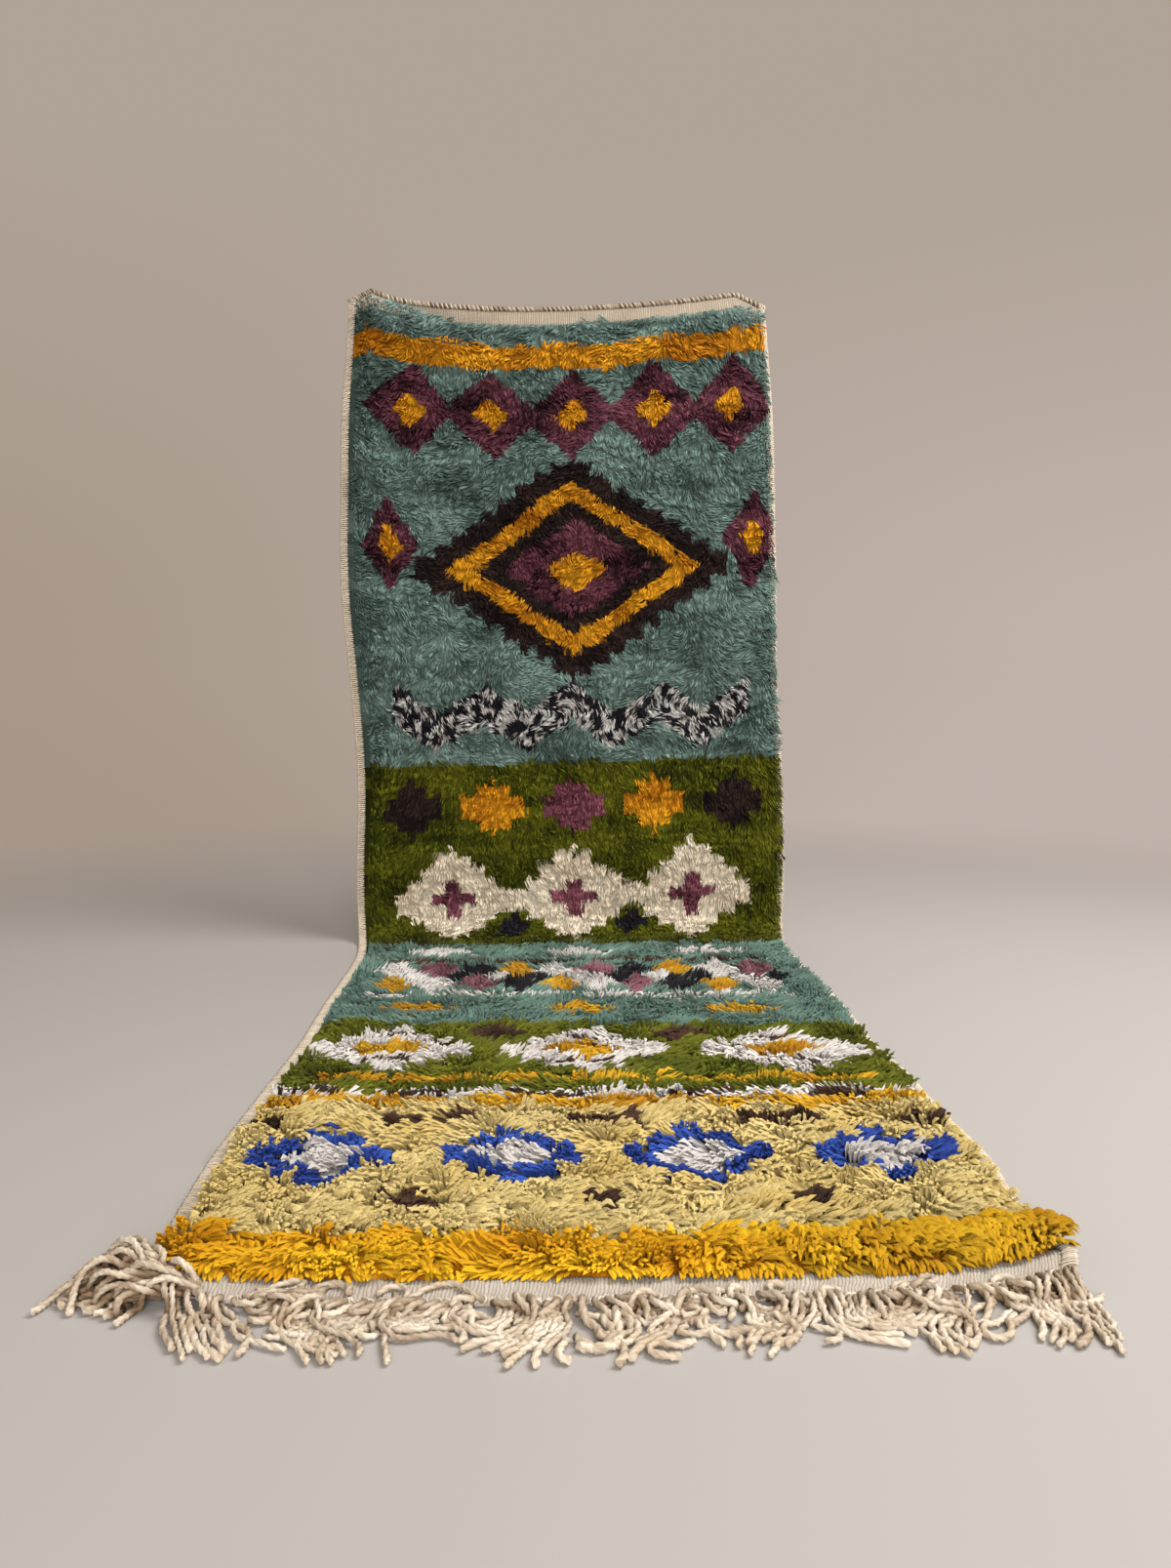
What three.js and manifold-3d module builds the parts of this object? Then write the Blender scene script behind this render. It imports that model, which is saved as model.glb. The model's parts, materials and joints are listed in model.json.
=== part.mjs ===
// A hand-knotted wool runner held up by its two top corners: its upper half hangs, then it bends and
// lies flat along the floor towards the front, where its warp ends make a corded fringe.
// Millimetres, +Z up. The floor is z = 0, the rug hangs at the back and lies towards -Y.

import * as THREE from 'three';
import { mergeVertices } from 'three/addons/utils/BufferGeometryUtils.js';
import Module from 'manifold-3d';

// Driving sizes of the rug laid flat
const RUG_WIDTH = 800;
const PILE_LENGTH = 2440;
const FRONT_BAND = 42;
const TOP_BAND = 24;
const SELVEDGE_WIDTH = 13;
const SELVEDGE_THICK = 6;
const BAND_THICK = 4;
const PILE_THICK = 22;
const BRAID_SIZE = 6;
const FRINGE_LENGTH = 92;
const GAP = 0.3;

// How it is placed: flat on the floor, round the bend, then straight up
const FLOOR_RUN = 1290;
const BEND_RADIUS = 60;
const BEND_STARTS = FLOOR_RUN - BEND_RADIUS;
const BEND_ENDS = BEND_STARTS + (BEND_RADIUS * Math.PI) / 2;
const ROUND_MIDDLE = new THREE.Vector3(18, 731, 0);

// The two points of the top edge that it is held by. Between them it hangs in a curve that is deepest left
// of the middle, outside them the corners droop, and on the floor its front end is rounded.
const HELD_LEFT = -362;
const HELD_RIGHT = 300;
const HANG_SKEW = 0.75;
const CORNER_DROOP = 0.4;
const DROOP_FROM = 2120;
const FRONT_ROUND = 420;

// The rug's outline and main waves. at is the distance along the rug from the front edge of the pile,
// left and right its side edges, ahead how far its middle lies towards the fringe of its sides, slant how
// far its right side is further on than its left, and the bows how far it stands off the wall or floor.
const SECTIONS = [
  { at: -50, left: -399, right: 400, ahead: 33, slant: -4, bowLeft: 0, bowMiddle: 0, bowRight: 0 },
  { at: 0, left: -405, right: 404, ahead: 33, slant: -4, bowLeft: 0, bowMiddle: 0, bowRight: 0 },
  { at: 80, left: -407, right: 395, ahead: 28, slant: -8, bowLeft: 0, bowMiddle: 0, bowRight: 0 },
  { at: 215, left: -410, right: 409, ahead: 16, slant: -16, bowLeft: 0, bowMiddle: 0, bowRight: 0 },
  { at: 345, left: -406, right: 404, ahead: 8, slant: -24, bowLeft: 0, bowMiddle: 0, bowRight: 0 },
  { at: 500, left: -398, right: 405, ahead: 5, slant: -36, bowLeft: 0, bowMiddle: 0, bowRight: 0 },
  { at: 620, left: -394, right: 397, ahead: 4, slant: -44, bowLeft: 0, bowMiddle: 0, bowRight: 0 },
  { at: 800, left: -395, right: 403, ahead: 2, slant: -34, bowLeft: 0, bowMiddle: 0, bowRight: 0 },
  { at: 1140, left: -392, right: 396, ahead: 0, slant: 14, bowLeft: 0, bowMiddle: 0, bowRight: 0 },
  { at: 1340, left: -411, right: 409, ahead: 0, slant: 22, bowLeft: 0, bowMiddle: 2, bowRight: 0 },
  { at: 1590, left: -406, right: 401, ahead: 2, slant: 19, bowLeft: 3, bowMiddle: 9, bowRight: 5 },
  { at: 1754, left: -415, right: 391, ahead: 3, slant: 14, bowLeft: 9, bowMiddle: 6, bowRight: 3 },
  { at: 1939, left: -429, right: 385, ahead: 5, slant: 9, bowLeft: 13, bowMiddle: 4, bowRight: 8 },
  { at: 2114, left: -427, right: 379, ahead: 12, slant: 5, bowLeft: 10, bowMiddle: 9, bowRight: 10 },
  { at: 2264, left: -423, right: 374, ahead: 25, slant: 2, bowLeft: 6, bowMiddle: 15, bowRight: 6 },
  { at: 2400, left: -412, right: 364, ahead: 38, slant: 0, bowLeft: 3, bowMiddle: 20, bowRight: 3 },
  { at: 2475, left: -406, right: 356, ahead: 30, slant: 0, bowLeft: 2, bowMiddle: 12, bowRight: 3 },
];

// Soft folds, each a straight crest from one place on the rug to another; a trough has a height below 0
const FOLDS = [
  { fromAt: 2445, fromAcross: -385, toAt: 2345, toAcross: -110, width: 30, height: 12 },
  { fromAt: 2460, fromAcross: -330, toAt: 2410, toAcross: -130, width: 20, height: -7 },
  { fromAt: 2450, fromAcross: 315, toAt: 2350, toAcross: 110, width: 36, height: 8 },
  { fromAt: 2200, fromAcross: -250, toAt: 2050, toAcross: 60, width: 55, height: 5 },
  { fromAt: 1850, fromAcross: 320, toAt: 1710, toAcross: 40, width: 60, height: 6 },
  { fromAt: 1440, fromAcross: -380, toAt: 1420, toAcross: 380, width: 38, height: 5 },
];
// The part of its run over which a fold dies away
const FOLD_FADES = 0.6;
const FOLD_ENDS = 1.2;

// Corners of the flat-woven front end that are lifted off the floor
const LIFTS = [
  { at: -42, across: -400, reach: 75, height: 18 },
  { at: -42, across: 400, reach: 85, height: 13 },
];

// The bunches of the fringe that are thrown about. from is the place across the rug, reach how far it runs
// out, side how far its tip is to the right, rise the height of its crest.
const THROWN_BUNCHES = [
  { from: -388, reach: -38, side: -44, rise: 36, wide: 16 },
  { from: -372, reach: -4, side: -72, rise: 38, wide: 17 },
  { from: -356, reach: 28, side: -76, rise: 32, wide: 17 },
  { from: -338, reach: 52, side: -56, rise: 26, wide: 17 },
  { from: 382, reach: 98, side: -4, rise: 17, wide: 16 },
];

// The ordinary bunches between them, which differ a little in reach, lean and height
const BUNCHES = 25;
const FIRST_BUNCH = -312;
const LAST_BUNCH = 356;
const BUNCH_WIDE = 17;
const BUNCH_RISE = 18;
const BUNCH_REACH = 0.86;
const REACH_VARIES = 0.12;
const LEAN_VARIES = 5;
const RISE_VARIES = 5;
const WIDTH_VARIES = 2;
const SPREADS = 0.02;

// How a bunch is shaped: its taper, its crest and its bend to one side
const BUNCH_SIDES = 6;
const BUNCH_STEPS = 5;
const BUNCH_TAPER = 0.35;
const BUNCH_CLEAR = 0.4;
const BUNCH_LOWEST = 0.2;
const BUNCH_FLAT = 0.9;
const LANDS = 1.1;
const CREST_POWER = 1.3;
const SIDE_POWER = 1.4;
const SPINE_DEPTH = 9;
const SPINE_THICK = 6;
const SPINE_EDGE = 4.2;

// Where the pile starts and is full, from the front edge of the knotted field and from its top edge
const FRONT_PILE = { starts: -7, full: 9 };
const TOP_PILE = { full: -8, ends: 7 };

// The hand-cut surface of the pile goes up and down by these two waves
const BROAD_WAVE = { height: 1.1, along: 71, across: 190, secondAlong: 240, secondAcross: 83 };
const NEAR_WAVE = { height: 0.5, along: 29, across: 61, phase: 1.3 };

// Heights of the rug's side and top outline, for flat weave and for full pile, and how far the pile leans
// out over the side cord there
const RISES = [
  { flat: 1.2, full: 6.6, out: 0 },
  { flat: 2.4, full: 10, out: 5 },
  { flat: 3.4, full: 18, out: 2 },
  { flat: 4, full: 21.5, out: -9 },
];
const SPILLS_FROM = 0.85;
const COLUMNS = 12;

// The section of the top plait, along the rug and above its back
const BRAID_SECTION = [
  { at: 0, height: 0.5 },
  { at: 0, height: 4.5 },
  { at: BRAID_SIZE / 2, height: BRAID_SIZE },
  { at: BRAID_SIZE, height: 4.5 },
  { at: BRAID_SIZE, height: 1.5 },
  { at: BRAID_SIZE / 2, height: 0 },
];

// Distances between the rings along the rug: close together where it bends or changes thickness
const STEPS = [
  { until: -12, step: 18 },
  { until: 14, step: 6 },
  { until: 30, step: 16 },
  { until: BEND_STARTS - 20, step: 58 },
  { until: BEND_ENDS + 20, step: 14 },
  { until: 2200, step: 48 },
  { until: PILE_LENGTH - 20, step: 24 },
  { until: PILE_LENGTH + TOP_BAND, step: 6 },
];
const WELD = 1e-3;

const lerp = THREE.MathUtils.lerp;
const smooth = THREE.MathUtils.smoothstep;

// One column of SECTIONS at any distance along the rug, on a smooth curve through its rows
function reading(column, at) {
  const last = SECTIONS.length - 1;
  const found = SECTIONS.findIndex((row) => row.at > at);
  const next = found < 0 ? last : Math.max(found, 1);
  const [before, a, b, after] = [next - 2, next - 1, next, next + 1].map(
    (row) => SECTIONS[THREE.MathUtils.clamp(row, 0, last)]
  );
  const t = THREE.MathUtils.clamp((at - a.at) / (b.at - a.at), 0, 1);
  const span = b.at - a.at;
  const leave = ((b[column] - before[column]) / (b.at - before.at)) * span;
  const arrive = ((after[column] - a[column]) / (after.at - a.at)) * span;
  const square = t * t;
  const cube = square * t;
  return (
    (2 * cube - 3 * square + 1) * a[column] +
    (cube - 2 * square + t) * leave +
    (3 * square - 2 * cube) * b[column] +
    (cube - square) * arrive
  );
}

// How far a place on the rug is drawn towards its front end by the way it hangs and lies
function slide(at, across) {
  const share = THREE.MathUtils.clamp((across - HELD_LEFT) / (HELD_RIGHT - HELD_LEFT), 0, 1) ** HANG_SKEW;
  const hanging = 4 * share * (1 - share);
  const lying = 1 - (across / FRONT_ROUND) ** 4;
  const up = smooth(at, BEND_STARTS, BEND_ENDS);
  const outside = Math.max(HELD_LEFT - across, across - HELD_RIGHT, 0);
  const droop = outside * CORNER_DROOP * smooth(at, DROOP_FROM, PILE_LENGTH);
  return lerp(lying, hanging, up) * reading('ahead', at) + droop;
}

// How far the rug stands off the floor or the wall behind it
function lift(at, across) {
  const side = THREE.MathUtils.clamp((2 * across) / RUG_WIDTH, -1, 1);
  const outer = side < 0 ? reading('bowLeft', at) : reading('bowRight', at);
  let height = lerp(reading('bowMiddle', at), outer, side * side);
  for (const fold of FOLDS) {
    const [runAt, runAcross] = [fold.toAt - fold.fromAt, fold.toAcross - fold.fromAcross];
    const run = Math.hypot(runAt, runAcross);
    const [offAt, offAcross] = [at - fold.fromAt, across - fold.fromAcross];
    const alongFold = (offAt * runAt + offAcross * runAcross) / run;
    const aside = (offAt * runAcross - offAcross * runAt) / run;
    const grows = smooth(alongFold, -fold.width, fold.width);
    const fades = smooth(alongFold, run * FOLD_FADES, run * FOLD_ENDS);
    height += fold.height * grows * (1 - fades) * Math.exp(-((aside / fold.width) ** 2));
  }
  for (const corner of LIFTS) {
    const away = Math.hypot(Math.min(at - corner.at, corner.reach), across - corner.across);
    const down = smooth(corner.at - at, 0, corner.reach / 2);
    height += corner.height * (1 - smooth(away, 0, corner.reach)) * (1 - down);
  }
  return Math.max(height, 0);
}

// The place in space of a point on the rug: at along it, across it, and height above its back
function place(at, across, height) {
  const run = at + (reading('slant', at) * across) / RUG_WIDTH - slide(at, across);
  const off = height + lift(at, across);
  if (run < BEND_STARTS) {
    return new THREE.Vector3(across, run - FLOOR_RUN, off);
  }
  if (run > BEND_ENDS) {
    return new THREE.Vector3(across, -off, BEND_RADIUS + run - BEND_ENDS);
  }
  const turn = (run - BEND_STARTS) / BEND_RADIUS;
  const radius = BEND_RADIUS - off;
  const [back, up] = [radius * Math.sin(turn), radius * Math.cos(turn)];
  return new THREE.Vector3(across, back - BEND_RADIUS, BEND_RADIUS - up);
}

// An end face that is small and nearly flat: a fan from the ring's first point
function fanCap(count) {
  const faces = [];
  for (let i = 1; i < count - 1; i += 1) {
    faces.push([0, i, i + 1]);
  }
  return faces;
}

// The rug's end face follows the curve of its end: a strip from its back to its top, and a fan at each side
function clothCap(count) {
  const topLeft = count - RISES.length;
  const faces = [];
  for (let i = 0; i < COLUMNS; i += 1) {
    faces.push([i, i + 1, topLeft - i - 1], [i, topLeft - i - 1, topLeft - i]);
  }
  for (let i = 1; i < RISES.length; i += 1) {
    faces.push([COLUMNS, COLUMNS + i, COLUMNS + i + 1], [0, topLeft + i - 1, topLeft + i]);
  }
  return faces;
}

// A closed body through rings that all have the same number of points. Seen from the first ring towards
// the last, each ring runs anticlockwise.
function loft(rings, cap = fanCap) {
  const count = rings[0].length;
  const last = (rings.length - 1) * count;
  const faces = [];
  for (let ring = 0; ring < rings.length - 1; ring += 1) {
    for (let i = 0; i < count; i += 1) {
      const [a, b] = [ring * count + i, ring * count + ((i + 1) % count)];
      faces.push(a, b + count, b, a, a + count, b + count);
    }
  }
  for (const [a, b, c] of cap(count)) {
    faces.push(a, b, c, last + a, last + c, last + b);
  }
  const geometry = new THREE.BufferGeometry();
  const numbers = rings.flat().flatMap((point) => point.toArray());
  geometry.setAttribute('position', new THREE.Float32BufferAttribute(numbers, 3));
  geometry.setIndex(faces);
  return geometry;
}

// Distances along the rug at which its rings are set, from one end of the weave to the other
function stations() {
  const stops = [-FRONT_BAND];
  for (const { until, step } of STEPS) {
    const start = stops[stops.length - 1];
    const count = Math.round((until - start) / step);
    for (let i = 1; i <= count; i += 1) {
      stops.push(lerp(start, until, i / count));
    }
  }
  return stops;
}

// How full the pile is: nothing on the flat-woven ends, rising steeply at both ends of the knotted field
function fullness(at) {
  const risen = smooth(at, FRONT_PILE.starts, FRONT_PILE.full);
  return risen * (1 - smooth(at - PILE_LENGTH, TOP_PILE.full, TOP_PILE.ends));
}

// The pile's surface is a little uneven, as hand-cut pile is
function unevenness(at, across) {
  const first = Math.sin(at / BROAD_WAVE.along + across / BROAD_WAVE.across);
  const second = Math.cos(across / BROAD_WAVE.secondAcross - at / BROAD_WAVE.secondAlong);
  const near = Math.sin(at / NEAR_WAVE.along - across / NEAR_WAVE.across + NEAR_WAVE.phase);
  return BROAD_WAVE.height * first * second + NEAR_WAVE.height * near;
}

// Where the rug's columns of points lie across it, between the side cords
function columns(at) {
  const left = reading('left', at) + SELVEDGE_WIDTH + GAP;
  const right = reading('right', at) - SELVEDGE_WIDTH - GAP;
  return Array.from({ length: COLUMNS + 1 }, (_, i) => lerp(left, right, i / COLUMNS));
}

// The same with both side edges, for what runs along an end of the rug
function wholeEnd(at) {
  return [reading('left', at), ...columns(at), reading('right', at)];
}

// One ring round the rug: its back from left to right, then its side, its pile and its other side
function clothRing(at) {
  const full = fullness(at);
  const acrosses = columns(at);
  const [left, right] = [acrosses[0], acrosses[COLUMNS]];
  const ring = acrosses.map((across) => place(at, across, 0));
  const spill = smooth(full, SPILLS_FROM, 1);
  const sides = RISES.map((row) => ({ height: lerp(row.flat, row.full, full), out: row.out * spill }));
  for (const { height, out } of sides) {
    ring.push(place(at, right + out, height));
  }
  const top = lerp(BAND_THICK, PILE_THICK, full);
  for (const across of acrosses.slice(1, -1).toReversed()) {
    ring.push(place(at, across, top + full * unevenness(at, across)));
  }
  for (const { height, out } of sides.toReversed()) {
    ring.push(place(at, left - out, height));
  }
  return ring;
}

// One ring round a side cord: a flat oval beside the cloth
function selvedgeRing(at, column, outward) {
  const edge = reading(column, at);
  const middle = edge - (outward * SELVEDGE_WIDTH) / 2;
  const ring = [];
  for (let i = 0; i < BUNCH_SIDES; i += 1) {
    const turn = (2 * Math.PI * i) / BUNCH_SIDES;
    const across = middle + (Math.cos(turn) * SELVEDGE_WIDTH) / 2;
    ring.push(place(at, across, (SELVEDGE_THICK / 2) * (1 + Math.sin(turn) / Math.sin(Math.PI / 3))));
  }
  return ring;
}

// One ring round the thin plait along the top end, which sits on the end of the flat weave
function braidRing(across) {
  const start = PILE_LENGTH + TOP_BAND + GAP;
  return BRAID_SECTION.map(({ at, height }) => place(start + at, across, height));
}

// A closed mesh as a solid that can be joined to others
const wasm = await Module();
wasm.setup();

function asSolid(geometry) {
  const bare = geometry.clone();
  bare.deleteAttribute('normal');
  bare.deleteAttribute('uv');
  const merged = mergeVertices(bare, WELD);
  const mesh = new wasm.Mesh({
    numProp: 3,
    vertProperties: new Float32Array(merged.getAttribute('position').array),
    triVerts: new Uint32Array(merged.getIndex().array),
  });
  return new wasm.Manifold(mesh);
}

function asGeometry(solid) {
  const mesh = solid.getMesh();
  const geometry = new THREE.BufferGeometry();
  geometry.setAttribute('position', new THREE.BufferAttribute(mesh.vertProperties, 3));
  geometry.setIndex(new THREE.BufferAttribute(mesh.triVerts, 1));
  return geometry;
}

// A bunch of corded warp ends: it leaves the fringe's spine, rises to its crest and comes down to the floor
function bunch({ from, reach, side, rise, wide }) {
  const start = -FRONT_BAND - GAP - SPINE_DEPTH / 2;
  const rings = [];
  for (let step = 0; step <= BUNCH_STEPS; step += 1) {
    const t = step / BUNCH_STEPS;
    const radius = (wide / 2) * (1 - BUNCH_TAPER * t * t);
    const arch = Math.sin(Math.PI * Math.min(t * LANDS, 1)) ** CREST_POWER;
    const crest = radius + BUNCH_CLEAR + (rise - radius) * arch;
    const at = start - reach * t;
    const across = from + side * t ** SIDE_POWER;
    const heading = Math.atan2(side * SIDE_POWER * t ** (SIDE_POWER - 1), reach);
    const ring = [];
    for (let i = 0; i < BUNCH_SIDES; i += 1) {
      const turn = (2 * Math.PI * i) / BUNCH_SIDES;
      const aside = -Math.cos(turn) * radius;
      const height = Math.max(crest + Math.sin(turn) * radius * BUNCH_FLAT, BUNCH_LOWEST);
      ring.push(place(at + aside * Math.sin(heading), across + aside * Math.cos(heading), height));
    }
    rings.push(ring);
  }
  return asSolid(loft(rings));
}

// The fringe's spine runs along the end of the front flat weave
function spine() {
  const start = -FRONT_BAND - GAP;
  const corners = [
    { at: start, height: 0 },
    { at: start - SPINE_DEPTH, height: 0 },
    { at: start - SPINE_DEPTH, height: SPINE_EDGE },
    { at: start - SPINE_DEPTH / 2, height: SPINE_THICK },
    { at: start, height: SPINE_EDGE },
  ];
  const ring = (across) => corners.map(({ at, height }) => place(at, across, height));
  return asSolid(loft(wholeEnd(-FRONT_BAND).map(ring)));
}

// Ordinary bunches differ from each other by two numbers that never fall into step
function ordinaryBunches() {
  const made = [];
  for (let i = 0; i < BUNCHES; i += 1) {
    const from = lerp(FIRST_BUNCH, LAST_BUNCH, i / (BUNCHES - 1));
    const mixed = Math.sin(i * 2.4 + 0.7);
    const other = Math.cos(i * 3.7 + 1.1);
    made.push({
      from,
      reach: FRINGE_LENGTH * (BUNCH_REACH + REACH_VARIES * mixed),
      side: LEAN_VARIES * other + from * SPREADS,
      rise: BUNCH_RISE + RISE_VARIES * other * mixed,
      wide: BUNCH_WIDE + WIDTH_VARIES * mixed,
    });
  }
  return made;
}

function fringeGeometry() {
  const rows = [...THROWN_BUNCHES, ...ordinaryBunches()];
  const comb = rows.reduce((joined, row) => joined.add(bunch(row)), spine());
  return asGeometry(comb);
}

function clothGeometry() {
  return loft(stations().map(clothRing), clothCap);
}

function selvedgeGeometry(column, outward) {
  return loft(stations().map((at) => selvedgeRing(at, column, outward)));
}

function braidGeometry() {
  return loft(wholeEnd(PILE_LENGTH + TOP_BAND).map(braidRing));
}

const finishes = {
  wool: new THREE.MeshStandardMaterial({ color: 0x5f8a7d, roughness: 0.95, metalness: 0 }),
  overcasting: new THREE.MeshStandardMaterial({ color: 0xd9cdb8, roughness: 0.9, metalness: 0 }),
  plait: new THREE.MeshStandardMaterial({ color: 0xa79a84, roughness: 0.9, metalness: 0 }),
  cords: new THREE.MeshStandardMaterial({ color: 0xd8cebc, roughness: 0.9, metalness: 0 }),
};

const group = new THREE.Group();

function add(name, geometry, material) {
  const mesh = new THREE.Mesh(geometry, material);
  mesh.name = name;
  mesh.position.copy(ROUND_MIDDLE);
  group.add(mesh);
}

add('rug_cloth', clothGeometry(), finishes.wool);
add('selvedge_left', selvedgeGeometry('left', -1), finishes.overcasting);
add('selvedge_right', selvedgeGeometry('right', 1), finishes.overcasting);
add('top_braid', braidGeometry(), finishes.plait);
add('fringe', fringeGeometry(), finishes.cords);

export default group;
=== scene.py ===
import json
import math
import bpy
import numpy as np
from mathutils import Matrix, Vector, kdtree, noise

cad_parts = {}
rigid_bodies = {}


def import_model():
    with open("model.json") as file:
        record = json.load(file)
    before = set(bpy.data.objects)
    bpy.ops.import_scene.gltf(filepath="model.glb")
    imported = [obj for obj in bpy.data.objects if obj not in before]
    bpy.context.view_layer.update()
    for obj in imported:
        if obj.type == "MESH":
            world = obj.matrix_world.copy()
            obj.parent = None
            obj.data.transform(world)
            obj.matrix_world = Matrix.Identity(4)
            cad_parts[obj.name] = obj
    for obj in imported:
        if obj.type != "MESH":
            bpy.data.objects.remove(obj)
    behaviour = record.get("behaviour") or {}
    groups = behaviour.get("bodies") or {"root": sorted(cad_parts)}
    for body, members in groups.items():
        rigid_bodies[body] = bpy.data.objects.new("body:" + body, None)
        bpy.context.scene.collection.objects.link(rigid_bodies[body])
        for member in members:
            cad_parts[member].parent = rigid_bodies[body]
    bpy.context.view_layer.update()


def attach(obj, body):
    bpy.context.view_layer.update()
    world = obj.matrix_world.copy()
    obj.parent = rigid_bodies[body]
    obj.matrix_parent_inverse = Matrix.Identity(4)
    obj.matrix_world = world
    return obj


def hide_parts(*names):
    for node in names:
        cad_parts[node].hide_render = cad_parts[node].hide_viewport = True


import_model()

# A hand-knotted wool runner with a deep pile, held up by its two top corners. Its upper half hangs, then it
# bends and lies out along the floor to a corded fringe. Metres, +Z up. Places on the rug itself are written
# in millimetres: at along it from the front edge of its pile, and across it from its middle to the right.


# The studio: a pale floor that fades into a plain warm backdrop all round, one big soft light high up on
# the right and a weaker one far off in front, and the camera low in front, looking along the rug.
CAMERA_PLACE = (-0.047, -1.579, 0.51)
CAMERA_PITCH = math.radians(5.2)
CAMERA_YAW = math.radians(2.24)
CAMERA_LENS = 28.0
FLOOR_DEPTH = 0.0006
FLOOR_RADIUS = 60.0
FLOOR_SIDES = 64
FLOOR_TONE = (0.406, 0.395, 0.388, 1)
FADE_STARTS = 1.2
FADE_ENDS = 2.9
BACKDROP_LEFT = (0.385, 0.31, 0.255, 1)
BACKDROP_RIGHT = (0.53, 0.447, 0.402, 1)
BACKDROP_TOP = (0.43, 0.362, 0.306, 1)
LIGHTS = (
    # name, place, watts, size, tone
    ("key_light", (1.5, -0.25, 2.4), 78, 1.9, (1.0, 0.97, 0.93)),
    ("fill_light", (0.5, -5.6, 2.3), 282, 3.0, (1.0, 0.96, 0.92)),
)
LIT_POINT = Vector((0.0, 0.1, 0.3))


class Wire:
    """A socket of a node tree. Sums, differences, products and quotients with it add Math nodes."""

    def __init__(self, tree, socket=None):
        self.tree = tree
        self.socket = socket

    def node(self, kind, settings, inputs, output=0):
        """A node of that kind: its settings are made first, then its sockets are filled or linked."""
        made = self.tree.nodes.new(kind)
        for setting, value in settings.items():
            if setting == "stops":
                self.set_stops(made.color_ramp.elements, value)
            else:
                setattr(made, setting, value)
        for key, value in inputs.items():
            if isinstance(value, Wire):
                self.tree.links.new(value.socket, made.inputs[key])
            else:
                made.inputs[key].default_value = value
        return Wire(self.tree, made.outputs[output] if len(made.outputs) else None)

    def set_stops(self, elements, stops):
        for _ in range(len(stops) - len(elements)):
            elements.new(0.5)
        for element, (position, *tone) in zip(elements, stops):
            element.position = position
            element.color = (*tone, 1)

    def maths(self, operation, first, second=0.0):
        return self.node("ShaderNodeMath", {"operation": operation}, {0: first, 1: second})

    def vectors(self, operation, inputs, output="Vector"):
        return self.node("ShaderNodeVectorMath", {"operation": operation}, inputs, output)

    def __add__(self, other):
        return self.maths("ADD", self, other)

    __radd__ = __add__

    def __sub__(self, other):
        return self.maths("SUBTRACT", self, other)

    def __rsub__(self, other):
        return self.maths("SUBTRACT", other, self)

    def __mul__(self, other):
        return self.maths("MULTIPLY", self, other)

    __rmul__ = __mul__

    def __truediv__(self, other):
        return self.maths("DIVIDE", self, other)

    def __rtruediv__(self, other):
        return self.maths("DIVIDE", other, self)

    def eased(self, low, high, start=0.0, end=1.0):
        """start below low and end above high, with a smooth change between them."""
        ends = {"From Min": low, "From Max": high, "To Min": start, "To Max": end, "Value": self}
        return self.node("ShaderNodeMapRange", {"interpolation_type": "SMOOTHSTEP"}, ends)

    def laid(self, over, share=1.0, way="MIX"):
        """This colour with another one laid over it."""
        settings = {"data_type": "RGBA", "blend_type": way}
        return self.node("ShaderNodeMix", settings, {0: share, 6: self, 7: over}, 2)

    def shaded(self, by, share=1.0):
        return self.laid(by, share, "MULTIPLY")

    def part(self, axis):
        return self.node("ShaderNodeSeparateXYZ", {}, {0: self}, axis)


def new_finish(name):
    """An empty material and the wire that its nodes start from."""
    material = bpy.data.materials.new(name)
    material.use_nodes = True
    material.node_tree.nodes.clear()
    return material, Wire(material.node_tree)


def backdrop_side(share):
    """The backdrop's colour from its left to its right."""
    both = {0: share.eased(-0.5, 0.5), 6: BACKDROP_LEFT, 7: BACKDROP_RIGHT}
    return share.node("ShaderNodeMix", {"data_type": "RGBA"}, both, 2)


def link_in(name, data):
    """A new object in the scene."""
    thing = bpy.data.objects.new(name, data)
    bpy.context.scene.collection.objects.link(thing)
    return thing


floor_mesh = bpy.data.meshes.new("studio_floor")
rim_turns = np.linspace(0, 2 * math.pi, FLOOR_SIDES, endpoint=False)
rim = [(FLOOR_RADIUS * math.cos(turn), FLOOR_RADIUS * math.sin(turn), -FLOOR_DEPTH) for turn in rim_turns]
floor_mesh.from_pydata(rim, [], [list(range(FLOOR_SIDES))])
studio_floor = link_in("studio_floor", floor_mesh)
floor_paint, start = new_finish("studio_floor")
place_on_floor = start.node("ShaderNodeTexCoord", {}, {}, "Object")
away = start.vectors("LENGTH", {0: place_on_floor}, "Value")
near_paint = start.node("ShaderNodeBsdfPrincipled", {}, {"Base Color": FLOOR_TONE, "Roughness": 0.6})
far_paint = start.node("ShaderNodeEmission", {}, {"Color": backdrop_side(place_on_floor.part("X") / away)})
both_paints = {0: away.eased(FADE_STARTS, FADE_ENDS), 1: near_paint, 2: far_paint}
floor_shader = start.node("ShaderNodeMixShader", {}, both_paints)
start.node("ShaderNodeOutputMaterial", {}, {"Surface": floor_shader})
floor_mesh.materials.append(floor_paint)

backdrop = bpy.data.worlds.new("backdrop")
backdrop.use_nodes = True
backdrop.node_tree.nodes.clear()
start = Wire(backdrop.node_tree)
looking = start.node("ShaderNodeTexCoord", {}, {}, "Generated")
height_share = looking.part("Z").eased(0.02, 0.4)
backdrop_tone = backdrop_side(looking.part("X")).laid(BACKDROP_TOP, height_share)
shone = start.node("ShaderNodeBackground", {}, {"Color": backdrop_tone})
start.node("ShaderNodeOutputWorld", {}, {"Surface": shone})
bpy.context.scene.world = backdrop
bpy.context.scene.view_settings.view_transform = "Standard"

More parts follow.
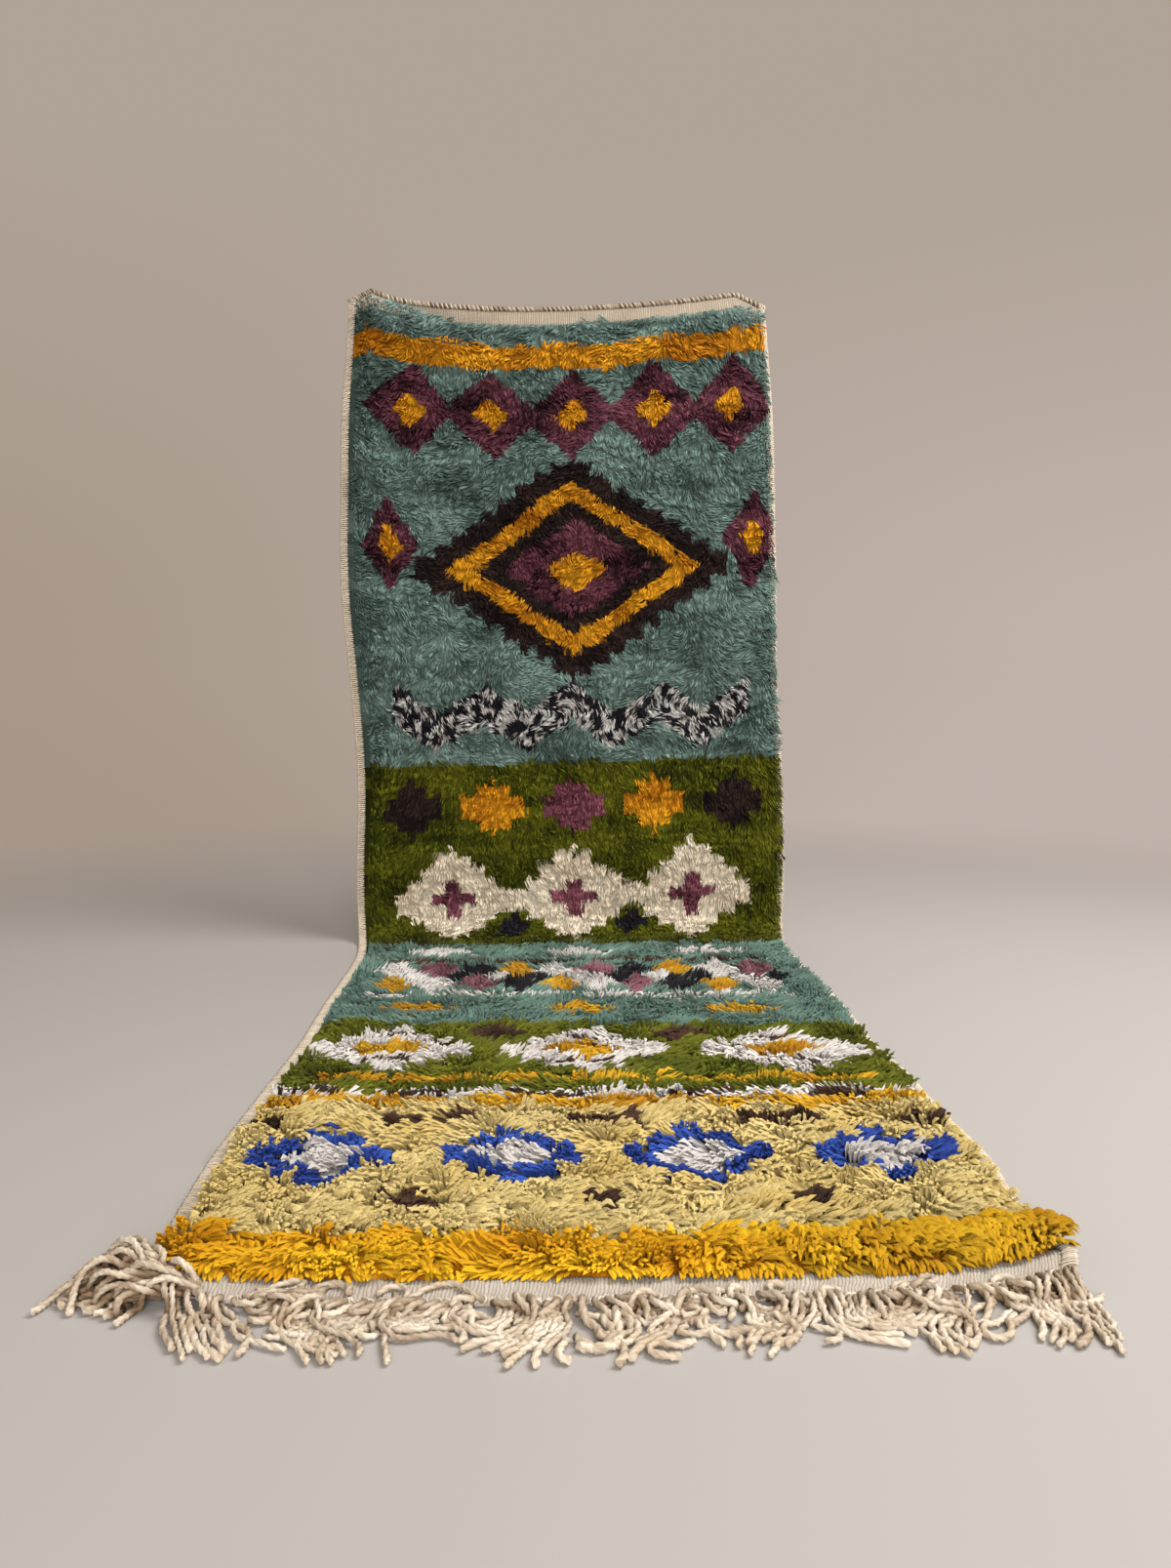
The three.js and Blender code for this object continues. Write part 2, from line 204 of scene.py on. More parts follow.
for name, spot, watts, size, light_tone in LIGHTS:
    light_data = bpy.data.lights.new(name, "AREA")
    light_data.shape = "DISK"
    light_data.size = size
    light_data.energy = watts
    light_data.color = light_tone
    light = link_in(name, light_data)
    light.location = spot
    light.rotation_euler = (LIT_POINT - Vector(spot)).to_track_quat("-Z", "Y").to_euler()

camera_data = bpy.data.cameras.new("camera")
camera_data.lens = CAMERA_LENS
camera_data.sensor_width = 36.0
camera = link_in("camera", camera_data)
camera.location = CAMERA_PLACE
camera.rotation_euler = (math.radians(90) - CAMERA_PITCH, 0, -CAMERA_YAW)
bpy.context.scene.camera = camera


# The ground weave: wool warps and wefts with the feet of the knots on them, 8 mm thick in all. Its
# back shows every knot as a small block of colour between rows of weft, so it is made finely there and
# plainly on the side that the pile hides.
RUG_WIDTH = 800
PILE_LENGTH = 2440
FRONT_BAND = 42
TOP_BAND = 24
SELVEDGE_WIDTH = 13
SELVEDGE_THICK = 6
GAP = 0.3
FLOOR_RUN = 1290
BEND_RADIUS = 60
BEND_STARTS = FLOOR_RUN - BEND_RADIUS
BEND_ENDS = BEND_STARTS + BEND_RADIUS * math.pi / 2
RUG_MIDDLE = np.array((18, 731, 0))
HELD_LEFT = -362
HELD_RIGHT = 300
HANG_SKEW = 0.75
CORNER_DROOP = 0.4
DROOP_FROM = 2120
FRONT_ROUND = 420
FOLD_FADES = 0.6
FOLD_ENDS = 1.2
SECTIONS = (
    # at, left, right, ahead, slant, bow left, bow middle, bow right
    (-50, -399, 384, 33, -4, 0, 0, 0),
    (0, -405, 404, 33, -4, 0, 0, 0),
    (80, -407, 395, 28, -8, 0, 0, 0),
    (215, -410, 409, 16, -16, 0, 0, 0),
    (345, -406, 404, 8, -24, 0, 0, 0),
    (500, -398, 405, 5, -36, 0, 0, 0),
    (620, -394, 397, 4, -44, 0, 0, 0),
    (800, -395, 403, 2, -34, 0, 0, 0),
    (1140, -392, 396, 0, 14, 0, 0, 0),
    (1340, -411, 409, 0, 22, 0, 2, 0),
    (1590, -406, 401, 2, 19, 3, 9, 5),
    (1754, -415, 391, 3, 14, 9, 6, 3),
    (1939, -429, 385, 5, 9, 13, 4, 8),
    (2114, -427, 379, 12, 5, 10, 9, 10),
    (2264, -423, 374, 25, 2, 6, 15, 6),
    (2400, -412, 364, 38, 0, 3, 20, 3),
    (2475, -406, 356, 30, 0, 2, 12, 3),
)
LEFT, RIGHT, AHEAD, SLANT, BOW_LEFT, BOW_MIDDLE, BOW_RIGHT = range(1, 8)
FOLDS = (
    # from at, from across, to at, to across, width, height
    (2445, -385, 2345, -110, 30, 12),
    (2460, -330, 2410, -130, 20, -7),
    (2450, 315, 2350, 110, 36, 8),
    (2200, -250, 2050, 60, 55, 5),
    (1850, 320, 1710, 40, 60, 6),
    (1440, -380, 1420, 380, 38, 5),
)
LIFTS = (
    # at, across, reach, height
    (-42, -400, 75, 18),
    (-42, 400, 85, 13),
)


def smooth(value, low, high):
    share = np.clip((value - low) / (high - low), 0, 1)
    return share * share * (3 - 2 * share)


def reading(column, at):
    """One column of SECTIONS at any distance along the rug, on a smooth curve through its rows."""
    rows = np.array(SECTIONS, float)
    last = len(rows) - 1
    b = np.clip(np.searchsorted(rows[:, 0], at, side="right"), 1, last)
    a = b - 1
    before, after = np.maximum(a - 1, 0), np.minimum(b + 1, last)
    where, value = rows[:, 0], rows[:, column]
    span = where[b] - where[a]
    t = np.clip((at - where[a]) / span, 0, 1)
    leave = (value[b] - value[before]) / (where[b] - where[before]) * span
    arrive = (value[after] - value[a]) / (where[after] - where[a]) * span
    bend = (t ** 3 - 2 * t ** 2 + t) * leave + (t ** 3 - t ** 2) * arrive
    return value[a] + (3 * t ** 2 - 2 * t ** 3) * (value[b] - value[a]) + bend


def woven_span(at, left_bare=GAP, right_bare=GAP):
    """Where the weave starts and ends across the rug, inside its side cords."""
    left = reading(LEFT, at) + SELVEDGE_WIDTH + left_bare
    return left, reading(RIGHT, at) - SELVEDGE_WIDTH - right_bare


def slide(at, across):
    """How far a place on the rug is drawn towards its front end by the way it hangs and lies."""
    share = np.clip((across - HELD_LEFT) / (HELD_RIGHT - HELD_LEFT), 0, 1) ** HANG_SKEW
    hanging = 4 * share * (1 - share)
    lying = 1 - (across / FRONT_ROUND) ** 4
    up = smooth(at, BEND_STARTS, BEND_ENDS)
    outside = np.maximum(np.maximum(HELD_LEFT - across, across - HELD_RIGHT), 0)
    droop = outside * CORNER_DROOP * smooth(at, DROOP_FROM, PILE_LENGTH)
    return (lying + (hanging - lying) * up) * reading(AHEAD, at) + droop


def lift(at, across):
    """How far the rug stands off the floor, or off the upright plane behind it."""
    side = np.clip(2 * across / RUG_WIDTH, -1, 1)
    outer = np.where(side < 0, reading(BOW_LEFT, at), reading(BOW_RIGHT, at))
    middle = reading(BOW_MIDDLE, at)
    height = middle + (outer - middle) * side * side
    for from_at, from_across, to_at, to_across, width, crest in FOLDS:
        run_at, run_across = to_at - from_at, to_across - from_across
        run = math.hypot(run_at, run_across)
        along = ((at - from_at) * run_at + (across - from_across) * run_across) / run
        aside = ((at - from_at) * run_across - (across - from_across) * run_at) / run
        fades = smooth(along, run * FOLD_FADES, run * FOLD_ENDS)
        height = height + crest * smooth(along, -width, width) * (1 - fades) * np.exp(-((aside / width) ** 2))
    for corner_at, corner_across, reach, crest in LIFTS:
        away = np.hypot(np.minimum(at - corner_at, reach), across - corner_across)
        down = smooth(corner_at - at, 0, reach / 2)
        height = height + crest * (1 - smooth(away, 0, reach)) * (1 - down)
    return np.maximum(height, 0)


def place(at, across, height):
    """The places in space, in metres, of points on the rug: at, across, and height above its back."""
    at, across, height = np.broadcast_arrays(*(np.asarray(v, float) for v in (at, across, height)))
    run = at + reading(SLANT, at) * across / RUG_WIDTH - slide(at, across)
    turn = np.clip((run - BEND_STARTS) / BEND_RADIUS, 0, math.pi / 2)
    radius = BEND_RADIUS - (height + lift(at, across))
    back = radius * np.sin(turn) - BEND_RADIUS + np.minimum(run - BEND_STARTS, 0)
    up = BEND_RADIUS - radius * np.cos(turn) + np.maximum(run - BEND_ENDS, 0)
    return (np.stack([across, back, up], axis=-1) + RUG_MIDDLE) / 1000


def unit(vectors):
    return vectors / np.maximum(np.linalg.norm(vectors, axis=-1, keepdims=True), 1e-9)


def lie_of(at, across):
    """Three directions at places on the rug: to its right, along it, and up out of its pile."""
    right = unit(place(at, across + 1.0, 0) - place(at, across - 1.0, 0))
    along = unit(place(at + 1.0, across, 0) - place(at - 1.0, across, 0))
    out = unit(np.cross(right, along))
    return right, np.cross(out, right), out


def new_mesh(name, points, faces=(), edges=()):
    mesh = bpy.data.meshes.new(name)
    mesh.from_pydata([tuple(point) for point in points], edges, faces)
    mesh.shade_smooth()
    return mesh


STORED_AS = {
    # how many numbers a stored value has, or its name: its kind and the field that holds it
    1: ("FLOAT", "value"),
    2: ("FLOAT2", "vector"),
    3: ("FLOAT_VECTOR", "vector"),
    4: ("FLOAT_COLOR", "color"),
    "turn": ("QUATERNION", "value"),
    "kind": ("INT", "value"),
}


def store(mesh, domain, **values):
    """Puts named values on every point, face corner or face of a mesh."""
    count = len({"POINT": mesh.vertices, "CORNER": mesh.loops, "FACE": mesh.polygons}[domain])
    for name, value in values.items():
        rows = np.asarray(value).reshape(count, -1)
        kind, field = STORED_AS[name if name in STORED_AS else rows.shape[1]]
        rows = rows.astype(np.int32 if kind == "INT" else np.float32)
        mesh.attributes.new(name, kind, domain).data.foreach_set(field, rows.ravel())


def flat_places(at, across):
    """The same places on the rug laid flat, in metres."""
    return np.stack([across / 1000, at / 1000, np.zeros_like(at)], axis=-1)


def corner_points(mesh):
    """The number of the point at every face corner."""
    numbers = np.zeros(len(mesh.loops), np.int32)
    mesh.loops.foreach_get("vertex_index", numbers)
    return numbers


def scatter(at, across, at_scale, across_scale, seed):
    """Soft noise over the rug, about -1 to 1, whose lumps are that many millimetres long and wide."""
    spots = zip(np.ravel(at / at_scale), np.ravel(across / across_scale))
    found = np.array([noise.noise((x, y, seed)) for x, y in spots])
    return found.reshape(np.shape(at)) * 2.0


def added_up(at, across, noises, start=0.0):
    """Several soft noises added up, each given as how much, how long and wide its lumps are, and its seed."""
    return sum((amount * scatter(at, across, *lumps) for amount, *lumps in noises), start)


YARNS = {
    # the dark and the light shade of each dyed wool
    "teal": ((0.067, 0.110, 0.097), (0.207, 0.320, 0.289)),
    "pale teal": ((0.112, 0.196, 0.160), (0.205, 0.340, 0.285)),
    "marigold": ((0.620, 0.280, 0.004), (0.920, 0.560, 0.018)),
    "gold": ((0.490, 0.212, 0.008), (0.815, 0.480, 0.025)),
    "mustard": ((0.400, 0.137, 0.004), (0.800, 0.375, 0.016)),
    "plum": ((0.016, 0.004, 0.007), (0.196, 0.062, 0.090)),
    # Painted light: a lighter copy of plum, knotted only round the bend, to look lit there
    "light plum": ((0.034, 0.009, 0.014), (0.300, 0.096, 0.138)),
    "rose": ((0.140, 0.046, 0.062), (0.420, 0.190, 0.235)),
    "brown": ((0.030, 0.016, 0.011), (0.105, 0.052, 0.031)),
    "dark brown": ((0.008, 0.005, 0.005), (0.036, 0.021, 0.018)),
    "navy": ((0.007, 0.006, 0.009), (0.022, 0.019, 0.026)),
    "moss": ((0.076, 0.090, 0.005), (0.176, 0.196, 0.013)),
    "deep moss": ((0.022, 0.026, 0.002), (0.126, 0.136, 0.007)),
    "white": ((0.740, 0.700, 0.660), (0.890, 0.865, 0.835)),
    "pearl": ((0.600, 0.570, 0.550), (0.735, 0.715, 0.700)),
    "ash": ((0.420, 0.410, 0.400), (0.660, 0.655, 0.640)),
    "cream": ((0.670, 0.570, 0.430), (0.870, 0.790, 0.640)),
    "straw": ((0.665, 0.495, 0.163), (0.765, 0.625, 0.280)),
    "blue": ((0.013, 0.032, 0.210), (0.046, 0.118, 0.540)),
}
YARN_NAMES = tuple(YARNS)
BANDS = (
    # start, end, yarn: the plain stripes and grounds of the rug, from its front end to its top
    (-40, 50, "marigold"),
    (50, 345, "straw"),
    (345, 378, "gold"),
    (378, 402, "white"),
    (402, 675, "moss"),
    (675, 1190, "pale teal"),
    (1190, 1610, "deep moss"),
    (1610, 2356, "teal"),
    (2356, 2402, "mustard"),
    (2402, 2480, "teal"),
)


def lozenge(at, across, high, wide):
    return np.abs(at) / high + np.abs(across) / wide < 1


def stepped(at, across, high, wide, step=22):
    """A lozenge whose outline goes in steps, as knots and rows make it."""
    row = (np.floor(np.abs(at) / step) + 0.5) * step
    return (row / high + np.abs(across) / wide < 1) & (np.abs(at) < high)


def dash(at, across, high, wide):
    return (np.abs(at) < high) & (np.abs(across) < wide)


def cross(at, across, high, wide, slim=3.2):
    return dash(at, across, high / slim, wide) | dash(at, across, high, wide / slim)


MOTIFS = [
    # shape, at, half height, half width, yarn, places across; a later row is knotted over an earlier one
    (stepped, 204, 66, 88, "blue", (-294, -98, 98, 294)),
    (lozenge, 204, 38, 50, "pearl", (-294, -98, 98, 294)),
    (cross, 112, 22, 26, "brown", (-196, 0, 196)),
    (dash, 298, 12, 46, "brown", (-184, 12, 208)),
    (dash, 288, 10, 26, "brown", (-365, 365)),
    (dash, 390, 7, 42, "brown", (-330, -215, -60, 130, 290)),
    (dash, 440, 10, 345, "gold", (0,)),
    (stepped, 556, 92, 124, "white", (-258, 0, 258)),
    (lozenge, 556, 38, 58, "gold", (-258, 0, 258)),
    (dash, 506, 5, 34, "brown", (-258, 0, 258)),
    (dash, 606, 5, 34, "brown", (-258, 0, 258)),
    (lozenge, 628, 30, 44, "brown", (-129, 129)),
    (lozenge, 756, 30, 64, "gold", (-240, 0, 240)),
    (dash, 834, 9, 336, "white", (0,)),
    (dash, 1056, 9, 336, "brown", (0,)),
    (lozenge, 1122, 32, 70, "white", (-240, 0, 240)),
    (stepped, 1348, 104, 126, "cream", (-224, 0, 224)),
    (cross, 1348, 38, 44, "light plum", (-224, 0, 224)),
    (lozenge, 1286, 34, 34, "navy", (-112, 112)),
    (stepped, 1525, 58, 70, "dark brown", (-300, 300)),
    (stepped, 1525, 58, 70, "mustard", (-150, 150)),
    (stepped, 1525, 58, 70, "light plum", (0,)),
    (lozenge, 2018, 92, 52, "plum", (-336, 336)),
    (lozenge, 2018, 36, 22, "mustard", (-336, 336)),
    (stepped, 1972, 212, 310, "dark brown", (0,)),
    (lozenge, 1972, 166, 242, "mustard", (0,)),
    (lozenge, 1972, 128, 190, "dark brown", (0,)),
    (lozenge, 1972, 96, 142, "plum", (0,)),
    (lozenge, 1972, 40, 60, "mustard", (0,)),
    (lozenge, 2268, 88, 88, "plum", (-292, -146, 0, 146, 292)),
    (lozenge, 2268, 34, 34, "mustard", (-292, -146, 0, 146, 292)),
]
CHECKS = ("white", "rose", "navy", "gold")
CHECK_STEP = 66
for index, across in enumerate(range(-297, 298, CHECK_STEP)):
    MOTIFS += [
        (lozenge, 990, 52, 38, CHECKS[index % 4], (across,)),
        (lozenge, 900, 52, 38, CHECKS[index % 4 - 1], (across,)),
        (lozenge, 945, 34, 24, CHECKS[index % 2 * 2], (across + CHECK_STEP / 2,)),
    ]
ZIGZAG_MIDDLE = 1694
ZIGZAG_RISE = 30
ZIGZAG_STEP = 82.5
ZIGZAG_HALF = 36
ZIGZAG_REACH = 335
FLECK_LUMPS = (9, 7, 6.4)
WANDER_AT = ((5, 160, 95, 3.1), (2.5, 30, 22, 8.6))
WANDER_ACROSS = ((6, 120, 150, 5.7), (3, 24, 30, 1.9))
DYE_LOTS = ((0.3, 26, 130, 2.2), (0.3, 55, 60, 9.4))
STRIPE_RISE = 26
LEFT_EDGE_PAINTED_SHADE = 0.5
RIGHT_FRONT_PAINTED_SHADE = 0.32
BEND_PAINTED_LIGHT = 0.13


def yarn_at(at, across):
    """The number of the yarn that is knotted at each place, with the wander of hand work in its lines."""
    drawn_at = at + added_up(at, across, WANDER_AT)
    drawn_at = drawn_at - STRIPE_RISE * smooth(across, 285, 365) * smooth(at, 2280, 2340)
    drawn_across = across + added_up(at, across, WANDER_ACROSS)
    chosen = np.full(np.shape(at), YARN_NAMES.index("teal"))
    for low, high, yarn in BANDS:
        chosen[(drawn_at >= low) & (drawn_at < high)] = YARN_NAMES.index(yarn)
    for shape, middle_at, high, wide, yarn, places in MOTIFS:
        for middle_across in places:
            inside = shape(drawn_at - middle_at, drawn_across - middle_across, high, wide)
            chosen[inside] = YARN_NAMES.index(yarn)
    slope = np.abs(((drawn_across + 4 * ZIGZAG_STEP) / ZIGZAG_STEP) % 2 - 1) * 2 - 1
    zigzag = ZIGZAG_MIDDLE + ZIGZAG_RISE * slope
    speckled = dash(drawn_at - zigzag, drawn_across, ZIGZAG_HALF, ZIGZAG_REACH)
    pale = scatter(at, across, *FLECK_LUMPS) > 0.1
    fleck = np.where(pale, YARN_NAMES.index("ash"), YARN_NAMES.index("navy"))
    return np.where(speckled, fleck, chosen)


def dyed(at, across, picked, spread, rng):
    """The colour of each knot: its yarn's two shades mixed by the dye batch and a little by the knot, with
    painted shade along two edges and painted light in the bend.
    """
    shades = np.array([YARNS[name] for name in YARN_NAMES])
    dye_lot_and_shade = added_up(at, across, DYE_LOTS, 0.5)
    # Painted shade: the knots along the left edge of the hanging part are darker
    dye_lot_and_shade = dye_lot_and_shade - LEFT_EDGE_PAINTED_SHADE * (1 - smooth(across, -400, -320)) * smooth(at, 1250, 1500)
    share = np.clip(dye_lot_and_shade + spread * rng.normal(size=np.shape(at)), 0, 1)[..., None]
    tones = shades[picked, 0] * (1 - share) + shades[picked, 1] * share
    # Painted shade: the right half of the front end is darker
    right_front_shade = 1 - RIGHT_FRONT_PAINTED_SHADE * smooth(across, 40, 240) * (1 - smooth(at, 40, 90))
    # Painted light: the knots round the bend are lightened, as if by light thrown up from the floor
    bend_light = 1 + BEND_PAINTED_LIGHT * smooth(at, 1210, 1290) * (1 - smooth(at, 1585, 1625))
    tones = tones * (right_front_shade * bend_light)[..., None]
    return np.concatenate([tones, np.ones((*np.shape(at), 1))], axis=-1)


BACK_ACROSS = 96
BACK_ALONG = 240
FRONT_EVERY = 2
FEET_THICK = 8.0
EDGE_THICK = 2.0
WEAVE_SPECKLE = 0.25
FEET_PAINTED_SHADE = 0.7
FRONT_EDGE_PAINTED_SHADE = (0.9, 0.6, 0.5)
FRONT_EDGE_SHADE_ENDS = 16
# The map for baked colours: the back takes two strips side by side, the hidden side a narrow third one
BACK_STRIP = 0.46
HIDDEN_STRIP = 0.07
MAP_WIDTH = 880


def weave_grid(every):
    """Places for a net of points over the whole weave, one in so many of the finest net."""
    along = np.linspace(-1, PILE_LENGTH + 1, BACK_ALONG + 1)[::every, None]
    share = np.linspace(0, 1, BACK_ACROSS + 1)[::every]
    left, right = woven_span(along)
    across = left + (right - left) * share
    return np.broadcast_to(along, across.shape), across, share * (1 - share)


def squares(net):
    """The corners of every square of a net of numbered points."""
    return np.stack([net[:-1, :-1], net[1:, :-1], net[1:, 1:], net[:-1, 1:]], axis=-1).reshape(-1, 4)


def hem(fine, coarse, turned):
    """The faces that close the gap between a fine edge and the coarse one beside it."""
    faces = []
    for k in range(len(coarse) - 1):
        run = fine[k * FRONT_EVERY:(k + 1) * FRONT_EVERY + 1].tolist()
        step = coarse[k:k + 2].tolist()
        faces.append(run[::-1] + step if turned else run + step[::-1])
    return faces


back_at, back_across, _ = weave_grid(1)
front_at, front_across, inward = weave_grid(FRONT_EVERY)
between_ends = smooth(front_at, -2, 14) * (1 - smooth(front_at, PILE_LENGTH - 12, PILE_LENGTH + 2))
feet_height = EDGE_THICK + (FEET_THICK - EDGE_THICK) * (between_ends * smooth(inward, 0, 0.02))
weave_points = np.concatenate([place(back_at, back_across, 0).reshape(-1, 3),
                               place(front_at, front_across, feet_height).reshape(-1, 3)])
back = np.arange(back_at.size).reshape(back_at.shape)
front = np.arange(front_at.size).reshape(front_at.shape) + back.size
weave_faces = squares(back).tolist() + squares(front)[:, [0, 3, 2, 1]].tolist()
front_hem, top_hem = hem(back[0], front[0], False), hem(back[-1], front[-1], True)
left_hem, right_hem = hem(back[:, 0], front[:, 0], True), hem(back[:, -1], front[:, -1], False)
for pair in [*zip(front_hem, top_hem), *zip(left_hem, right_hem)]:
    weave_faces += pair

ground_mesh = new_mesh("ground_weave", weave_points, weave_faces)
loop_points = corner_points(ground_mesh)
flat_at = np.concatenate([back_at.ravel(), front_at.ravel()])[loop_points]
flat_across = np.concatenate([back_across.ravel(), front_across.ravel()])[loop_points]
loop_totals = np.array([len(face) for face in weave_faces])
loop_starts = np.cumsum(loop_totals) - loop_totals
face_at = np.add.reduceat(flat_at, loop_starts) / loop_totals
face_across = np.add.reduceat(flat_across, loop_starts) / loop_totals
is_back = np.arange(len(face_at)) < BACK_ALONG * BACK_ACROSS
rng = np.random.default_rng(11)
face_tones = dyed(face_at, face_across, yarn_at(face_at, face_across), WEAVE_SPECKLE, rng)
# Painted shade: the side of the weave under the pile, and its edges, darkened as if in the shade of the tufts
face_tones[~is_back, :3] *= FEET_PAINTED_SHADE
# Painted shade: a darker orange-brown along the first 16 mm of that side, under the tufts that hang over the
# front edge
face_tones[~is_back & (face_at < FRONT_EDGE_SHADE_ENDS), :3] *= FRONT_EDGE_PAINTED_SHADE
store(ground_mesh, "FACE", yarn=face_tones, back=is_back)
length_share = np.clip((flat_at + 1) / (PILE_LENGTH + 2), 0, 1)
width_share = np.clip((flat_across + MAP_WIDTH / 2) / MAP_WIDTH, 0, 1)
upper_half = np.repeat(face_at > PILE_LENGTH / 2, loop_totals).astype(float)
on_back = np.repeat(is_back, loop_totals)
hidden_across = 2 * BACK_STRIP + width_share * HIDDEN_STRIP
map_across = np.where(on_back, (width_share + upper_half) * BACK_STRIP, hidden_across)
map_along = np.where(on_back, length_share * 2 - upper_half, length_share)
store(ground_mesh, "CORNER", OFBake=np.stack([map_across, np.clip(map_along, 0, 1)], axis=-1),
      flat=flat_places(flat_at, flat_across))
ground_weave = link_in("ground_weave", ground_mesh)


def carried(start, label, output="Fac"):
    """A value or colour that is stored on the piece."""
    return start.node("ShaderNodeAttribute", {"attribute_name": label}, {}, output)


def cloud(spot, scale, detail=3.0):
    """Soft noise at a place."""
    return spot.node("ShaderNodeTexNoise", {}, {"Vector": spot, "Scale": scale, "Detail": detail})


def waves(value, spacing, curve="SINE"):
    """Even waves from 0 to 1, that far apart."""
    return value.maths(curve, value * (2 * math.pi / spacing)) * 0.5 + 0.5


def shade_by(value, *stops):
    """The colour that a value picks between stops, each a position and a colour."""
    return value.node("ShaderNodeValToRGB", {"stops": stops}, {"Fac": value})


def end_finish(tone, height, depth, strength, roughness, gloss, sheen=0.0):
    """Ends a wool finish: its colour, its relief up to that many metres deep, and how matt it is."""
    bump = tone.node("ShaderNodeBump", {}, {"Height": height, "Distance": depth, "Strength": strength})
    shader = tone.node("ShaderNodeBsdfPrincipled", {}, {
        "Base Color": tone, "Roughness": roughness, "Specular IOR Level": gloss, "Sheen Weight": sheen,
        "Normal": bump})
    tone.node("ShaderNodeOutputMaterial", {}, {"Surface": shader})


ROW_SPACING = 0.0064
KNOT_SPACING = 0.0048
WEFT_TONE = (0.50, 0.42, 0.32, 1)
ground_wool, start = new_finish("ground_wool")
flat_place = carried(start, "flat", "Vector")
weft_wave = waves(flat_place.part("Y"), ROW_SPACING)
warp_wave = waves(flat_place.part("X"), KNOT_SPACING)
fuzz = cloud(flat_place, 700.0)
weft_shows = weft_wave.eased(0.62, 0.9, 0.0, 0.75) * carried(start, "back")
woven_tone = carried(start, "yarn", "Color").laid(WEFT_TONE, weft_shows)
worn_tone = woven_tone.shaded(shade_by(fuzz, (0.25, 0.72, 0.72, 0.72), (0.75, 1, 1, 1)))
end_finish(worn_tone, weft_wave * 0.5 + warp_wave * 0.6 + fuzz * 0.5, 0.0012, 0.8, 0.92, 0.1)
ground_mesh.materials.append(ground_wool)
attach(ground_weave, "root")
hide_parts("rug_cloth")


# The two flat-woven ends: cream wool weft beaten down hard over the warps, so that they show as fine ribs
# that run out to the ends. The front one is wide and lies in front of the pile, and the top one is narrow.
BAND_THICK = 2.4
BAND_BACK = 0.2
PICK_SPACING = 0.0021
YELLOWED_SHADE = (0.66, 0.62, 0.56, 1)
RIB_WANDER = (1.1, 11, 6, 7.3)
RIB_LUMPS = (0.5, 5, 5, 3.9)
MAP_SLIVER = 0.002
WOVEN_ENDS = (
    # name, starts at, ends at, ribs across, depth of a rib, rows of points, how yellowed the wool is
    ("front_flat_weave", -FRONT_BAND, 3, 250, 0.8, 7, 0.0),
    ("top_flat_weave", PILE_LENGTH - 3, PILE_LENGTH + TOP_BAND, 190, 1.1, 5, 1.0),
)
# The corners of a face in order, as steps to the right and up
CORNERS = ((0, 0), (1, 0), (1, 1), (0, 1))
cream_weave, start = new_finish("cream_weave")
band_place = carried(start, "flat", "Vector")
lint = cloud(band_place, 900.0)
mottle = cloud(band_place, 26.0) * 0.3 + lint * 0.7
cream_tone = shade_by(mottle, (0.35, 0.42, 0.375, 0.32), (0.65, 0.75, 0.715, 0.655))
cream_tone = cream_tone.shaded(YELLOWED_SHADE, carried(start, "yellowed"))
# Painted shade: the grooves between the ribs are darker
cream_tone = cream_tone.shaded(shade_by(carried(start, "ridge"), (0.0, 0.62, 0.56, 0.50), (0.7, 1, 1, 1)))
end_finish(cream_tone, waves(band_place.part("Y"), PICK_SPACING) + lint, 0.0005, 0.7, 0.9, 0.15)


def ribbed_band(name, low, high, ribs, depth, rows, yellow):
    """One flat-woven end: a thin closed strip with a ridge over every pair of warps."""
    lines, count = 2 * ribs + 1, rows + 2
    along = np.concatenate([np.linspace(low, high, rows), [high, low]])
    share = np.linspace(0, 1, lines)
    left, right = woven_span(along)
    across = left + (right - left) * share[:, None]
    at = np.broadcast_to(along, across.shape)
    upper = np.arange(count) < rows
    ridge = (np.arange(lines) % 2)[:, None] * upper
    across = across + added_up(at, across, [RIB_WANDER]) * upper
    height = added_up(at, across, [RIB_LUMPS], BAND_THICK + depth * (ridge - 0.5))
    height = np.where(upper, height, BAND_BACK)
    # Round the strip on its map: over the top, down one edge, along the underside and up the other edge
    round_map = np.concatenate([np.linspace(0, 0.55, rows), [0.6, 0.93, 1.0]])
    faces, patches = [], []
    for i in range(lines - 1):
        for k in range(count):
            faces.append([(i + right) * count + (k + up) % count for right, up in CORNERS])
            patches += [(share[i + right], round_map[k + up]) for right, up in CORNERS]
    faces += [list(range(count)), list(reversed(range((lines - 1) * count, lines * count)))]
    patches += [(MAP_SLIVER * upper[k], round_map[k]) for k in range(count)]
    patches += [(1 - MAP_SLIVER * upper[k], round_map[k]) for k in reversed(range(count))]
    mesh = new_mesh(name, place(at, across, height).reshape(-1, 3), faces)
    numbers = corner_points(mesh)
    store(mesh, "CORNER", flat=flat_places(at.ravel()[numbers], across.ravel()[numbers]))
    store(mesh, "POINT", ridge=np.where(upper, ridge, 1.0), yellowed=np.full(across.size, yellow))
    store(mesh, "CORNER", OFBake=patches)
    mesh.materials.append(cream_weave)
    piece = link_in(name, mesh)
    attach(piece, "root")
    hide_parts("rug_cloth")
    return piece


flat_ends = [ribbed_band(*row) for row in WOVEN_ENDS]
